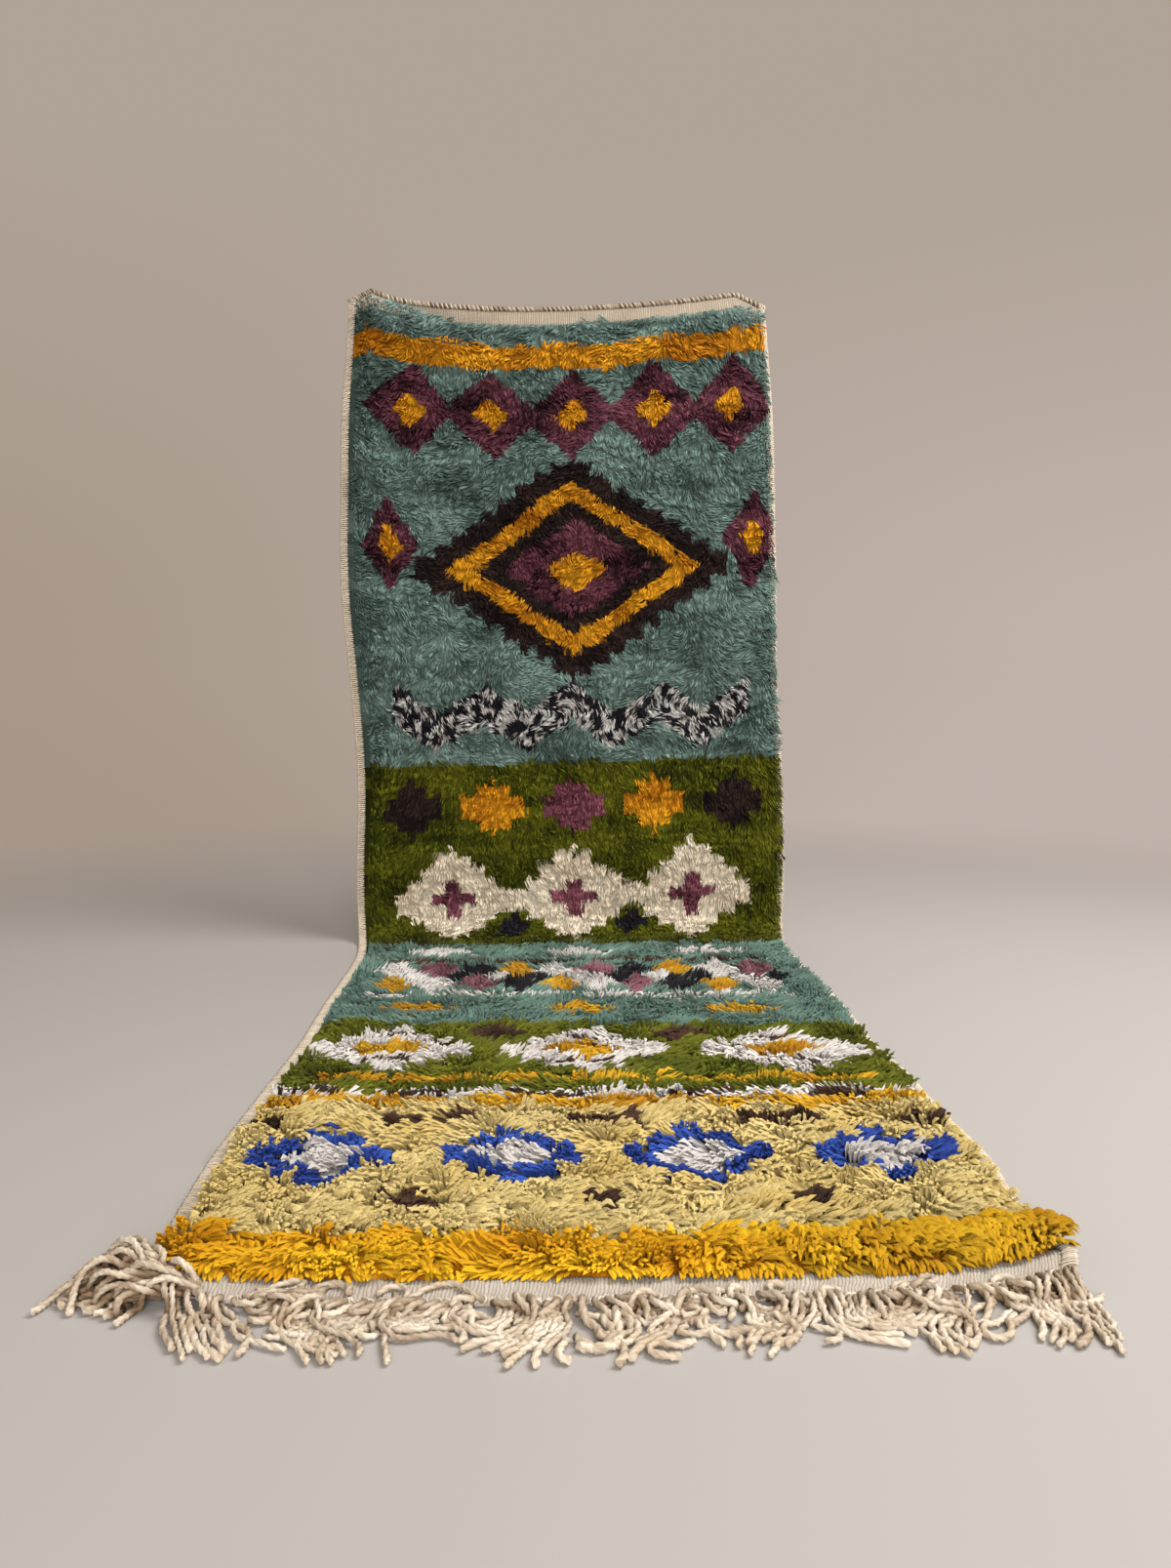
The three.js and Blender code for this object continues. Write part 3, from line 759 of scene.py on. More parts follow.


# The pile: tufts of soft wool yarn knotted round pairs of warps, row by row, and cut about 20 mm long. Each
# tuft leans the way the rug was combed and used, and neighbours cling together in locks with soft clefts
# between them, darkened with painted shade. A few shapes of tuft are repeated over the rug in the colours of
# its pattern.
ROOT_HEIGHT = 5.0
TUFT_SIDES = 3
FORM_RADIUS = 0.078
TUFT_FORMS = {
    # each row: lean, height and half width, for a tuft one unit long; both its ends close in a point
    "tuft_1_combed": ((0, 0, 0), (0.26, 0.44, FORM_RADIUS), (0.78, 0.74, 0)),
    "tuft_2_soft": ((0, 0, 0), (0.16, 0.50, FORM_RADIUS), (0.56, 0.88, 0)),
    "tuft_3_upright": ((0, 0, 0), (0.06, 0.54, FORM_RADIUS), (0.26, 1.00, 0)),
    "tuft_4_laid": ((0, 0, 0), (0.36, 0.38, FORM_RADIUS), (1.00, 0.55, 0)),
    "tuft_5_curled": ((0, 0, 0), (0.20, 0.46, 0.07), (0.66, 0.70, 0.09), (0.98, 0.52, 0)),
    "tuft_6_beaded": ((0, 0, 0), (0.14, 0.46, 0.075), (0.44, 0.74, 0.12), (0.68, 0.74, 0)),
    "tuft_7_thick_combed": ((0, 0, 0), (0.22, 0.40, FORM_RADIUS), (0.60, 0.66, 0.068), (0.77, 0.70, 0)),
    "tuft_8_thick_soft": ((0, 0, 0), (0.14, 0.46, FORM_RADIUS), (0.42, 0.78, 0.066), (0.56, 0.88, 0)),
    "tuft_9_thick_laid": ((0, 0, 0), (0.30, 0.34, FORM_RADIUS), (0.74, 0.50, 0.068), (0.94, 0.48, 0)),
}
COMBED, SOFT, UPRIGHT, LAID, CURLED, BEADED, THICK_COMBED, THICK_SOFT, THICK_LAID = range(9)
THICK_KIND = np.array((THICK_COMBED, THICK_SOFT, THICK_SOFT, THICK_LAID, CURLED, BEADED))
# How far over and how high up each of the first six kinds shows its colour
SHOWN = np.array(((0.50, 0.60), (0.36, 0.69), (0.16, 0.77), (0.65, 0.48), (0.60, 0.60), (0.40, 0.65)))
PILE_PIECES = (
    # name, start, end, row spacing, knot spacing, length, width, lock width, wildness, curled, upright,
    # speckle, share of thick tufts
    ("pile_end", 0, 150, 3.7, 3.6, 26, 4.7, 21, 0.75, 0.03, -0.3, 0.08, 1.0),
    ("pile_straw", 150, 345, 4.1, 3.95, 27, 5.2, 20, 0.8, 0.02, -0.3, 0.08, 0.9),
    ("pile_floor_moss", 345, 675, 4.3, 4.1, 22, 4.1, 17, 0.8, 0.03, -0.2, 0.12, 0.4),
    ("pile_floor_teal", 675, 1190, 5.2, 4.4, 19, 4.1, 18, 0.7, 0.02, 0.2, 0.12, 0.0),
    ("pile_bend_moss", 1190, 1610, 4.6, 3.9, 17, 3.5, 14, 0.35, 0.02, 0.3, 0.30, 0.0),
    ("pile_middle_teal", 1610, 2020, 4.5, 3.9, 18, 3.4, 15, 1.0, 0.02, 0.3, 0.28, 0.0),
    ("pile_upper_teal", 2020, 2442, 4.6, 3.9, 18, 3.4, 15, 1.0, 0.02, 0.3, 0.28, 0.0),
)
LOCK_PULL = 0.28
LOCK_JITTER = 0.3
KNOT_JITTER = 0.2
USUAL_LENGTH = 24
PATCH_FILL = 0.92
TOP_REACH = 9
TOP_REACH_STARTS = 2370
CORNER_STARTS = 2405
EDGE_LEAN_WIDE = 40
TILT_RANGE = (-0.4, 0.62)
# How flat the pile has to flow before a tuft takes the laid, the combed or the soft shape
LAID_ABOVE, COMBED_ABOVE, SOFT_ABOVE = 0.35, -0.45, -1.1
TOP_LEFT = (-340, -130)
TOP_RIGHT = (280, 350)
FLOOR_PILE_FADES = (1050, 1250)
# Soft noises over the pile: how much, how long and how wide the lumps are, seed
COMBED_WAYS = ((1.2, 110, 85, 4.4), (0.7, 38, 32, 7.7))
UNEVEN_CUT = ((0.06, 60, 60, 12.5), (0.07, 10, 60, 31.5))
RIPPLE_LUMPS = (8, 70, 21.3)
TILT_LUMPS = (0.12, 26, 24, 17.9)
FLOW_LUMPS = (42, 48, 15.2)
MARGINS = np.array((
    # at, bare selvedge at the left, at the right, lean to the right at the right edge
    (0, 0, -6, 0.35),
    (50, 0, -6, 0.35),
    (95, 8, 7, 0.1),
    (345, 8, 7, 0.1),
    (520, 8, 1, 0.2),
    (1190, 8, -1, 0.2),
    (1400, 11, -5, 0.4),
    (2000, 11, -5, 0.4),
    (2200, 10, -4, 0.2),
))


def form_object(name, points, faces, along, patches):
    """A shape to repeat: how far each point is along its yarn, and a map of it for the baked colours."""
    mesh = new_mesh(name, points, faces)
    store(mesh, "POINT", along=along)
    store(mesh, "CORNER", round=[across for across, _ in patches], patch=patches)
    return bpy.data.objects.new(name, mesh)


def tuft_form(name, rows):
    """A closed little body round a bent line in its own X and Z."""
    lean, height, radius = (np.array(column, float) for column in zip(*rows))
    line = np.stack([lean, np.zeros_like(lean), height], axis=1)
    total = np.concatenate([[0], np.cumsum(np.linalg.norm(np.diff(line, axis=0), axis=1))])
    sideways = np.array((0, 1, 0))
    rings, points, along = [], [], []
    for middle, ahead, wide, gone in zip(line, unit(np.gradient(line, axis=0)), radius, total / total[-1]):
        upward = np.cross(ahead, sideways)
        turns = np.linspace(0, 2 * math.pi, TUFT_SIDES, endpoint=False) if wide > 0 else [0]
        rings.append(range(len(points), len(points) + len(turns)))
        points += [middle + wide * (math.cos(turn) * sideways + math.sin(turn) * upward) for turn in turns]
        along += [gone] * len(turns)
    faces, patches = [], []
    for lower, upper in zip(rings, rings[1:]):
        for k in range(TUFT_SIDES):
            corners = [((lower, upper)[up], k + right) for right, up in CORNERS]
            if len(lower) == 1:
                corners[:2] = [(lower, k + 0.5)]
            elif len(upper) == 1:
                corners[2:] = [(upper, k + 0.5)]
            faces.append([ring[int(turn) % len(ring)] for ring, turn in corners])
            patches += [(turn / TUFT_SIDES, along[ring[0]]) for ring, turn in corners]
    return form_object(name, points, faces, along, patches)


def gather(name, forms):
    """A collection of shapes to repeat; they are taken in the order of their names."""
    kept = bpy.data.collections.new(name)
    bpy.context.scene.collection.children.link(kept)
    for form in forms:
        kept.objects.link(form)
    return kept


def put_away(kept):
    """The shapes that were repeated aren't pieces themselves."""
    for form in list(kept.objects):
        bpy.data.objects.remove(form)
    bpy.data.collections.remove(kept)


def open_tree(name, inputs):
    """A new node tree with these named inputs, and a wire from each of them."""
    tree = bpy.data.node_groups.new(name, "GeometryNodeTree")
    for label, kind in inputs.items():
        tree.interface.new_socket(label, in_out="INPUT", socket_type="NodeSocket" + kind)
    tree.interface.new_socket("Made", in_out="OUTPUT", socket_type="NodeSocketGeometry")
    begin = Wire(tree)
    return tree, begin, [begin.node("NodeGroupInput", {}, {}, label) for label in inputs]


def named(begin, label, kind):
    return begin.node("GeometryNodeInputNamedAttribute", {"data_type": kind}, {"Name": label})


def kept_as(made, label, kind, value, domain="CORNER"):
    """Stores a value on what is made."""
    settings = {"data_type": kind, "domain": domain}
    return made.node("GeometryNodeStoreNamedAttribute", settings, {
        "Geometry": made, "Name": label, "Value": value})


def close_tree(made, spent, finish_given):
    """Drops the values that only the tree needed, gives the finish and ends the tree."""
    for label in spent:
        made = made.node("GeometryNodeRemoveAttribute", {}, {"Geometry": made, "Name": label})
    finished = made.node("GeometryNodeSetMaterial", {}, {"Geometry": made, "Material": finish_given})
    made.node("NodeGroupOutput", {}, {0: finished})


def repeat_tree():
    """Sets a shape on every point, turned, sized and chosen by what the point says, and maps its colours."""
    tree, begin, (points, shapes, patch_size, finish_given) = open_tree("repeat_on_points", {
        "Points": "Geometry", "Shapes": "Collection", "Patch size": "Vector", "Finish": "Material"})
    choices = begin.node("GeometryNodeCollectionInfo", {}, {
        "Collection": shapes, "Separate Children": True, "Reset Children": True})
    set_out = begin.node("GeometryNodeInstanceOnPoints", {}, {
        "Points": points, "Instance": choices, "Pick Instance": True,
        "Instance Index": named(begin, "kind", "INT"), "Rotation": named(begin, "turn", "QUATERNION"),
        "Scale": named(begin, "size", "FLOAT_VECTOR")})
    real = begin.node("GeometryNodeRealizeInstances", {}, {"Geometry": set_out})
    bare_normal = begin.node("GeometryNodeInputNormal", {}, {})
    leaned_out = begin.vectors("ADD", {0: bare_normal, 1: named(begin, "outward", "FLOAT_VECTOR")})
    soft_normal = begin.vectors("NORMALIZE", {0: leaned_out})
    real = begin.node("GeometryNodeSetMeshNormal", {"mode": "FREE", "domain": "POINT"}, {
        "Mesh": real, "Custom Normal": soft_normal})
    laid_out = begin.vectors("MULTIPLY_ADD", {
        0: named(begin, "patch", "FLOAT_VECTOR"), 1: patch_size, 2: named(begin, "home", "FLOAT_VECTOR")})
    mapped = kept_as(real, "OFBake", "FLOAT2", laid_out)
    close_tree(mapped, ("patch", "home", "turn", "size", "kind", "outward"), finish_given)
    return tree


def run_tree(name, mesh, tree, given):
    """Runs a node tree on a mesh and keeps what it makes as a plain piece of that name."""
    piece = link_in(name, mesh)
    modifier = piece.modifiers.new("made", "NODES")
    modifier.node_group = tree
    for label, value in given.items():
        modifier[tree.interface.items_tree[label].identifier] = value
    depsgraph = bpy.context.evaluated_depsgraph_get()
    made = bpy.data.meshes.new_from_object(
        piece.evaluated_get(depsgraph), preserve_all_data_layers=True, depsgraph=depsgraph)
    piece.modifiers.clear()
    piece.data = made
    made.name = name
    made.shade_smooth()
    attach(piece, "root")
    return piece


def point_mesh(name, spots, axes, sizes, kinds, homes, tones, outward):
    """Points that say which shape is on each of them, and how it is turned, sized, shaded and coloured."""
    mesh = new_mesh(name, spots)
    turns = [Matrix(three).to_quaternion() for three in np.stack(axes, axis=-1)]
    own = np.arange(len(spots)) * 0.618 % 1
    store(mesh, "POINT", turn=turns, size=sizes, home=np.pad(homes, ((0, 0), (0, 1))), yarn=tones,
          outward=outward, own=own, kind=kinds)
    return mesh


def nearest_lock(at, across, first, last, spacing, rng):
    """The way from each tuft to the middle of the lock that it clings to, and the number of that lock."""
    rows, columns = int((last - first) / spacing) + 3, int(RUG_WIDTH / spacing) + 3
    lock_at, lock_across = (grid.ravel() * spacing for grid in np.mgrid[0:rows, 0:columns])
    lock_at = lock_at + first - spacing + rng.normal(0, LOCK_JITTER * spacing, lock_at.size)
    lock_across = lock_across - RUG_WIDTH / 2 - spacing + rng.normal(0, LOCK_JITTER * spacing, lock_at.size)
    tree = kdtree.KDTree(lock_at.size)
    for index, spot in enumerate(zip(lock_at, lock_across)):
        tree.insert((*spot, 0), index)
    tree.balance()
    nearest = np.array([tree.find((x, y, 0))[1] for x, y in zip(at, across)])
    return lock_at[nearest] - at, lock_across[nearest] - across, nearest


def tuft_points(name, first, last, row_spacing, knot_spacing, length, width, lock_width, wild, curly, upright,
                speckle, thick_share, rng):
    """Every tuft of one stretch of the pile: where it is knotted, how it leans, and its colour."""
    rows = int(round((last - first) / row_spacing))
    across_count = int(round((RUG_WIDTH - 2 * SELVEDGE_WIDTH) / knot_spacing))
    row, knot = (grid.ravel() for grid in np.mgrid[0:rows, 0:across_count])
    at = first + (row + 0.5) * (last - first) / rows + rng.normal(0, KNOT_JITTER * row_spacing, row.size)
    share = (knot + 0.5 + 0.5 * (row % 2) - 0.25 + rng.normal(0, KNOT_JITTER, row.size)) / across_count
    left_bare, right_bare, lean_right = (np.interp(at, MARGINS[:, 0], MARGINS[:, k]) for k in (1, 2, 3))
    left, right = woven_span(at, left_bare, right_bare)
    across = left + (right - left) * np.clip(share, 0.001, 0.999)
    on_floor = 1 - smooth(at, *FLOOR_PILE_FADES)
    top_corners = 1 - smooth(across, *TOP_LEFT) + 0.9 * smooth(across, *TOP_RIGHT)
    at = at + TOP_REACH * top_corners * smooth(at, TOP_REACH_STARTS, PILE_LENGTH)

    pull_at, pull_across, lock = nearest_lock(at, across, first, last, lock_width, rng)
    locks = lock.max() + 1
    turned = wild * added_up(at, across, COMBED_WAYS)
    turned = turned + 0.25 * rng.normal(size=locks)[lock] + rng.normal(0, 0.09, at.size)
    near_left = 1 - smooth(across - left, 0, EDGE_LEAN_WIDE)
    near_right = 1 - smooth(right - across, 0, EDGE_LEAN_WIDE)
    lean_across = np.sin(turned) * (1 - 0.7 * near_left - 0.8 * near_right) + 0.3 * near_left
    lean_across = lean_across + lean_right * near_right
    at_corner = top_corners * smooth(at, CORNER_STARTS, PILE_LENGTH)
    lean_along = 0.7 * at_corner - np.cos(turned)
    pull = LOCK_PULL * (1 - 0.7 * near_right) / length * USUAL_LENGTH / lock_width
    lean_along, lean_across = lean_along + pull * pull_at, lean_across + pull * pull_across
    amount = np.hypot(lean_along, lean_across)
    lean_along, lean_across = lean_along / amount, lean_across / amount

    right_way, along_way, out_way = lie_of(at, across)
    lean = unit(right_way * lean_across[:, None] + along_way * lean_along[:, None])
    wave = added_up(at, across, [(0.5 - 0.28 * wild, *RIPPLE_LUMPS), TILT_LUMPS])
    wave = wave + 0.1 * rng.normal(size=locks)[lock] + rng.normal(0, 0.06, at.size)
    tilt = np.clip((amount - 1) * 0.7 + wave + 0.1 + 0.45 * (1 - smooth(at, 2, 18)), *TILT_RANGE)
    up = np.cos(tilt)[:, None] * out_way + np.sin(tilt)[:, None] * lean
    ahead = np.cos(tilt)[:, None] * lean - np.sin(tilt)[:, None] * out_way

    lock_length = rng.normal(1, 0.06, locks)[lock]
    uneven = added_up(at, across, UNEVEN_CUT, 1.0)
    front = 1 - smooth(at, 0, 24)
    long = length * lock_length * uneven * rng.normal(1, 0.05, at.size) * (1 - 0.4 * front + 0.05 * at_corner)
    thick = width / (2 * FORM_RADIUS) * rng.normal(1, 0.1, at.size) * (1 + 0.4 * at_corner)
    sizes = np.stack([long, thick, long], axis=1) / 1000
    flow = scatter(at, across, *FLOW_LUMPS) + 0.25 * rng.normal(size=locks)[lock] - upright
    flow = flow + 0.15 * rng.normal(size=at.size)
    flat_enough = [flow > LAID_ABOVE, flow > COMBED_ABOVE, flow > SOFT_ABOVE]
    kinds = np.select(flat_enough, [LAID, COMBED, SOFT], UPRIGHT)
    beady = np.clip(curly + 0.75 * smooth(across, 60, 260) * (at < 60), 0, 0.9)
    chance = rng.random(at.size)
    kinds = np.where(chance < beady, np.where(chance < beady * 0.35, CURLED, BEADED), kinds)
    kinds = np.where((at < 7) & (chance > 0.25), LAID, kinds)
    shown_lean, shown_height = SHOWN[kinds].T
    reach = long * (shown_lean * np.cos(tilt) + shown_height * np.sin(tilt))
    kinds = np.where(rng.random(at.size) < thick_share, THICK_KIND[kinds], kinds)
    shown_at, shown_across = at + reach * lean_along, across + reach * lean_across
    tones = dyed(shown_at, shown_across, yarn_at(shown_at, shown_across), speckle, rng)
    # Painted shade: tufts further from the middle of their lock are darker, more on the hanging part than on
    # the floor
    cleft_painted_shade = smooth(np.hypot(pull_at, pull_across) / lock_width, 0.3, 0.75) * (0.4 - 0.34 * on_floor)
    tones[:, :3] *= np.clip(rng.normal(1, 0.4 * speckle, (at.size, 1)), 0.75, 1.25) * (1 - cleft_painted_shade)[:, None]
    homes = np.stack([knot / across_count, row / rows], axis=1)
    mesh = point_mesh(name, place(at, across, ROOT_HEIGHT), (ahead, np.cross(up, ahead), up), sizes, kinds,
                      homes, tones, out_way * (1.1 + 1.5 * on_floor[:, None]))
    # Painted shade: how much the tufts darken towards their roots, fully when hanging and hardly at all on
    # the floor
    store(mesh, "POINT", deep=1 - 0.95 * on_floor)
    return mesh, (PATCH_FILL / across_count, PATCH_FILL / rows, 0)


pile_wool, start = new_finish("pile_wool")
up_tuft = carried(start, "along")
fibre_place = start.node("ShaderNodeCombineXYZ", {}, {
    0: carried(start, "round") * 7.0, 1: up_tuft * 1.3, 2: carried(start, "own") * 40.0})
fibres = cloud(fibre_place, 1.6, 2.0)
# Painted shade: each tuft darkens towards its root, deep in the pile
depth = shade_by(up_tuft, (0.0, 0.30, 0.28, 0.28), (0.3, 0.70, 0.68, 0.68), (0.6, 1, 1, 1))
fibre_shade = shade_by(fibres, (0.3, 0.86, 0.86, 0.86), (0.7, 1.06, 1.06, 1.06))
tuft_tone = carried(start, "yarn", "Color").shaded(depth, carried(start, "deep"))
end_finish(tuft_tone.shaded(fibre_shade), fibres, 0.0009, 0.6, 0.75, 0.08, 0.03)

repeat_on_points = repeat_tree()
tuft_forms = gather("tuft_forms", [tuft_form(name, rows) for name, rows in TUFT_FORMS.items()])
rng = np.random.default_rng(5)
pile_pieces = []
for row in PILE_PIECES:
    mesh, patch_size = tuft_points(*row, rng)
    given = {"Shapes": tuft_forms, "Patch size": patch_size, "Finish": pile_wool}
    piece = run_tree(row[0], mesh, repeat_on_points, given)
    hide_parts("rug_cloth")
    pile_pieces.append(piece)
put_away(tuft_forms)


# The side cords and the top edge: a bundle of warps overcast turn by turn with cream wool along each side,
# and the same at the top in thinner, slanting turns of darker yarn that lock the ends of the warps.
WRAP_ROUND = 8
WRAP_SHARE = 0.4
WRAP_ASIDE = 0.85
WRAP_WIDE = 0.62
WRAP_TIPS = 0.06
WRAP_SWELLS = 0.05
SIDE_PITCH = 3.6
SIDE_HALF_WIDE = 8.6
SIDE_MIDDLE = 8.7
SIDE_SLANT = 0.12
TOP_PITCH = 4.3
TOP_HALF_WIDE = 5.0
TOP_SLANT = 0.6
SIDE_SHADES = ((0.52, 0.45, 0.36), (0.72, 0.65, 0.54))
TOP_SHADES = ((0.13, 0.09, 0.06), (0.60, 0.52, 0.41))
TOP_BY_TURNS = 0.7
CORD_SIDES = 8
PLY_LOBE = 0.09
MERGE_REACH = 0.00002
CORE_STEP = 20
CORE_SPREAD = 2.3
CORE_RADIUS = 1.7
CORE_TURN = 26


def wrap_form(name):
    """One turn of yarn as a closed ring of three sides, one unit from its middle to its outer edge."""
    points, along, faces, patches = [], [], [], []
    for i in range(WRAP_ROUND):
        turn = 2 * math.pi * i / WRAP_ROUND
        for k, aside in enumerate((0.0, WRAP_ASIDE, -WRAP_ASIDE)):
            reach = 1 - WRAP_SHARE if k else 1.0
            points.append((reach * math.cos(turn), aside, reach * math.sin(turn)))
            along.append(float(k == 0))
            faces.append([3 * ((i + up) % WRAP_ROUND) + (k + right) % 3 for right, up in CORNERS])
            patches += [((i + up) / WRAP_ROUND, (k + right) / 3) for right, up in CORNERS]
    return form_object(name, points, faces, along, patches)


def wound_edge(name, middles, axes, half_wide, half_thick, pitch, slant, tones, rng):
    """Turns of yarn side by side along a line of places, each a little different from the next."""
    ahead, along, out = axes
    count = len(middles)
    tip = slant + rng.normal(0, WRAP_TIPS, count)[:, None]
    crossing = np.cos(tip) * ahead + np.sin(tip) * along
    running = np.cos(tip) * along - np.sin(tip) * ahead
    swell = rng.normal(1, WRAP_SWELLS, (count, 1))
    sizes = np.concatenate([half_wide * swell / np.cos(tip), np.full((count, 1), pitch * WRAP_WIDE),
                            half_thick * swell], axis=1) / 1000
    homes = np.stack([np.zeros(count), np.arange(count) / count], axis=1)
    mesh = point_mesh(name, middles, (crossing, running, out), sizes, np.zeros(count), homes, tones,
                      np.zeros((count, 3)))
    given = {"Shapes": wrap_forms, "Patch size": (1.0, PATCH_FILL / count, 0), "Finish": wound_wool}
    return run_tree(name, mesh, repeat_on_points, given)


def shades_between(dark, light, count, rng, alternate=0.0):
    """Shades from the dark to the light one, at random or more or less by turns."""
    by_turns = alternate * (np.arange(count) % 2 - 0.5)
    share = np.clip(0.55 + by_turns + rng.normal(0, 0.25, count), 0, 1)[:, None]
    tones = np.array(dark) * (1 - share) + np.array(light) * share
    return np.concatenate([tones, np.ones((count, 1))], axis=1)


def cord_tree():
    """Turns each line of points into a cord of two plies, as thick as its points say, with its map."""
    tree, begin, (lines, patch_wide, finish_given) = open_tree("cords_on_lines", {
        "Lines": "Geometry", "Patch wide": "Float", "Finish": "Material"})
    around = begin.node("GeometryNodeSplineParameter", {}, {}, "Factor")
    ring = begin.node("GeometryNodeCurveArc", {}, {
        "Resolution": CORD_SIDES + 1, "Radius": 1.0, "Sweep Angle": 2 * math.pi})
    ring = kept_as(ring, "turned", "FLOAT", around, "POINT")
    turned = named(begin, "turned", "FLOAT")
    lobes = begin.maths("COSINE", turned * (4 * math.pi)) * PLY_LOBE + 1.0
    spot = begin.node("GeometryNodeInputPosition", {}, {})
    two_plies = begin.vectors("SCALE", {0: spot, "Scale": lobes})
    ring = begin.node("GeometryNodeSetPosition", {}, {"Geometry": ring, "Position": two_plies})
    curves = begin.node("GeometryNodeMeshToCurve", {}, {"Mesh": lines})
    curves = begin.node("GeometryNodeSetCurveTilt", {}, {
        "Curve": curves, "Tilt": named(begin, "twist", "FLOAT")})
    tubes = begin.node("GeometryNodeCurveToMesh", {}, {
        "Curve": curves, "Profile Curve": ring, "Scale": named(begin, "thick", "FLOAT")})
    real = begin.node("GeometryNodeRealizeInstances", {}, {"Geometry": tubes})
    place_round = begin.node("ShaderNodeCombineXYZ", {}, {0: turned * patch_wide})
    laid_out = begin.vectors("ADD", {0: place_round, 1: named(begin, "home", "FLOAT_VECTOR")})
    mapped = kept_as(kept_as(real, "OFBake", "FLOAT2", laid_out), "round", "FLOAT", turned)
    closed = begin.node("GeometryNodeMergeByDistance", {}, {"Geometry": mapped, "Distance": MERGE_REACH})
    close_tree(closed, ("home", "thick", "twist", "turned"), finish_given)
    return tree


def cords_along(name, lines, thick, far_along, ply_turn, tones, painted_shade=1.0):
    """Cords that follow lines of points in metres, one row of points for each cord, darkened by the painted
    shade given.
    """
    total, count = lines.shape[:2]
    joins = [(k, k + 1) for k in range(total * count) if (k + 1) % count]
    mesh = new_mesh(name, lines.reshape(-1, 3), edges=joins)
    homes = np.zeros((total, count, 3))
    homes[..., 0] = np.arange(total)[:, None] / total
    homes[..., 1] = np.linspace(0, 1, count)
    store(mesh, "POINT", home=homes, thick=thick / 1000, twist=far_along / ply_turn * 2 * math.pi,
          along=far_along, yarn=np.broadcast_to(tones[:, None] * painted_shade, (total, count, 4)))
    return run_tree(name, mesh, cords_on_lines, {"Patch wide": PATCH_FILL / total, "Finish": cord_wool})


wound_wool, start = new_finish("wound_wool")
in_space = start.node("ShaderNodeTexCoord", {}, {}, "Object")
hairs = cloud(in_space, 900.0)
# Painted shade: each turn of yarn darkens from its crest to the clefts beside it
turn_cleft_painted_shade = shade_by(carried(start, "along"), (0.0, 0.55, 0.50, 0.44), (0.7, 1, 1, 1))
hair_shade = shade_by(hairs, (0.3, 0.84, 0.84, 0.84), (0.7, 1.05, 1.05, 1.05))
turn_tone = carried(start, "yarn", "Color").shaded(turn_cleft_painted_shade)
end_finish(turn_tone.shaded(hair_shade), hairs, 0.0005, 0.6, 0.85, 0.15)

cord_wool, start = new_finish("cord_wool")
round_cord = carried(start, "round")
fibre_way = start.node("ShaderNodeCombineXYZ", {}, {0: round_cord * 9.0, 1: carried(start, "along") * 0.08})
strands = cloud(fibre_way, 1.5)
soil = cloud(start.node("ShaderNodeTexCoord", {}, {}, "Object"), 34.0)
cord_tone = carried(start, "yarn", "Color")
# Painted shade: each cord is darker in the grooves between its two plies
plies = waves(round_cord, 0.5, "COSINE")
for shade in (shade_by(plies, (0.0, 0.80, 0.76, 0.71), (0.4, 1, 1, 1)),
              shade_by(strands, (0.3, 0.80, 0.78, 0.75), (0.65, 1.04, 1.04, 1.04)),
              shade_by(soil, (0.35, 0.76, 0.70, 0.63), (0.6, 1, 1, 1))):
    cord_tone = cord_tone.shaded(shade)
end_finish(cord_tone, strands, 0.0009, 0.7, 0.75, 0.2)

cords_on_lines = cord_tree()
wrap_forms = gather("wrap_forms", [wrap_form("wrap")])
rng = np.random.default_rng(8)
far_end = PILE_LENGTH + TOP_BAND
trimmings = []
for name, column, inward in (("selvedge_left", LEFT, 1), ("selvedge_right", RIGHT, -1)):
    count = int((far_end + FRONT_BAND) / SIDE_PITCH)
    at = np.linspace(-FRONT_BAND + 2, far_end - 2, count)
    across = reading(column, at) + inward * SIDE_MIDDLE
    turns = wound_edge(name + "_turns", place(at, across, SELVEDGE_THICK / 2), lie_of(at, across),
                       SIDE_HALF_WIDE, SELVEDGE_THICK / 2, SIDE_PITCH, SIDE_SLANT * inward,
                       shades_between(*SIDE_SHADES, count, rng), rng)
    core_at = np.append(np.arange(-FRONT_BAND - 1, far_end, CORE_STEP), far_end)
    core_across = reading(column, core_at) + inward * SELVEDGE_WIDTH / 2
    lines = np.stack([place(core_at, core_across + aside, SELVEDGE_THICK / 2)
                      for aside in (-CORE_SPREAD, 0, CORE_SPREAD)])
    core = cords_along(name + "_warps", lines, np.full(lines.shape[:2], CORE_RADIUS),
                       np.tile(core_at, (3, 1)), CORE_TURN, shades_between(*SIDE_SHADES, 3, rng))
    for piece in (turns, core):
        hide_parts(name)
        trimmings.append(piece)

count = int(RUG_WIDTH / TOP_PITCH)
across = np.linspace(reading(LEFT, far_end) + 3, reading(RIGHT, far_end) - 3, count)
at = np.full(count, far_end + 1.5)
right_way, along_way, out_way = lie_of(at, across)
top_turns = wound_edge("top_edge_turns", place(at, across, SELVEDGE_THICK / 2),
                       (-along_way, right_way, out_way), TOP_HALF_WIDE, SELVEDGE_THICK / 2, TOP_PITCH,
                       TOP_SLANT, shades_between(*TOP_SHADES, count, rng, TOP_BY_TURNS), rng)
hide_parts("top_braid")
trimmings.append(top_turns)


# The fringe: the warps of the front end, twisted together in twos into soft cords about 6 mm thick and 85 to
# 135 mm long. They spring up a little at the edge, fall to the floor and lie there tangled, and the ones at
# the left corner are thrown up and over to the side.
CORD_RADIUS = 3.1
CORD_POINTS = 21
CORD_COUNT = 124
THROWN_COUNT = 36
COMB_SPAN = (-372, 381)
THROWN_SPAN = (-398, -338)
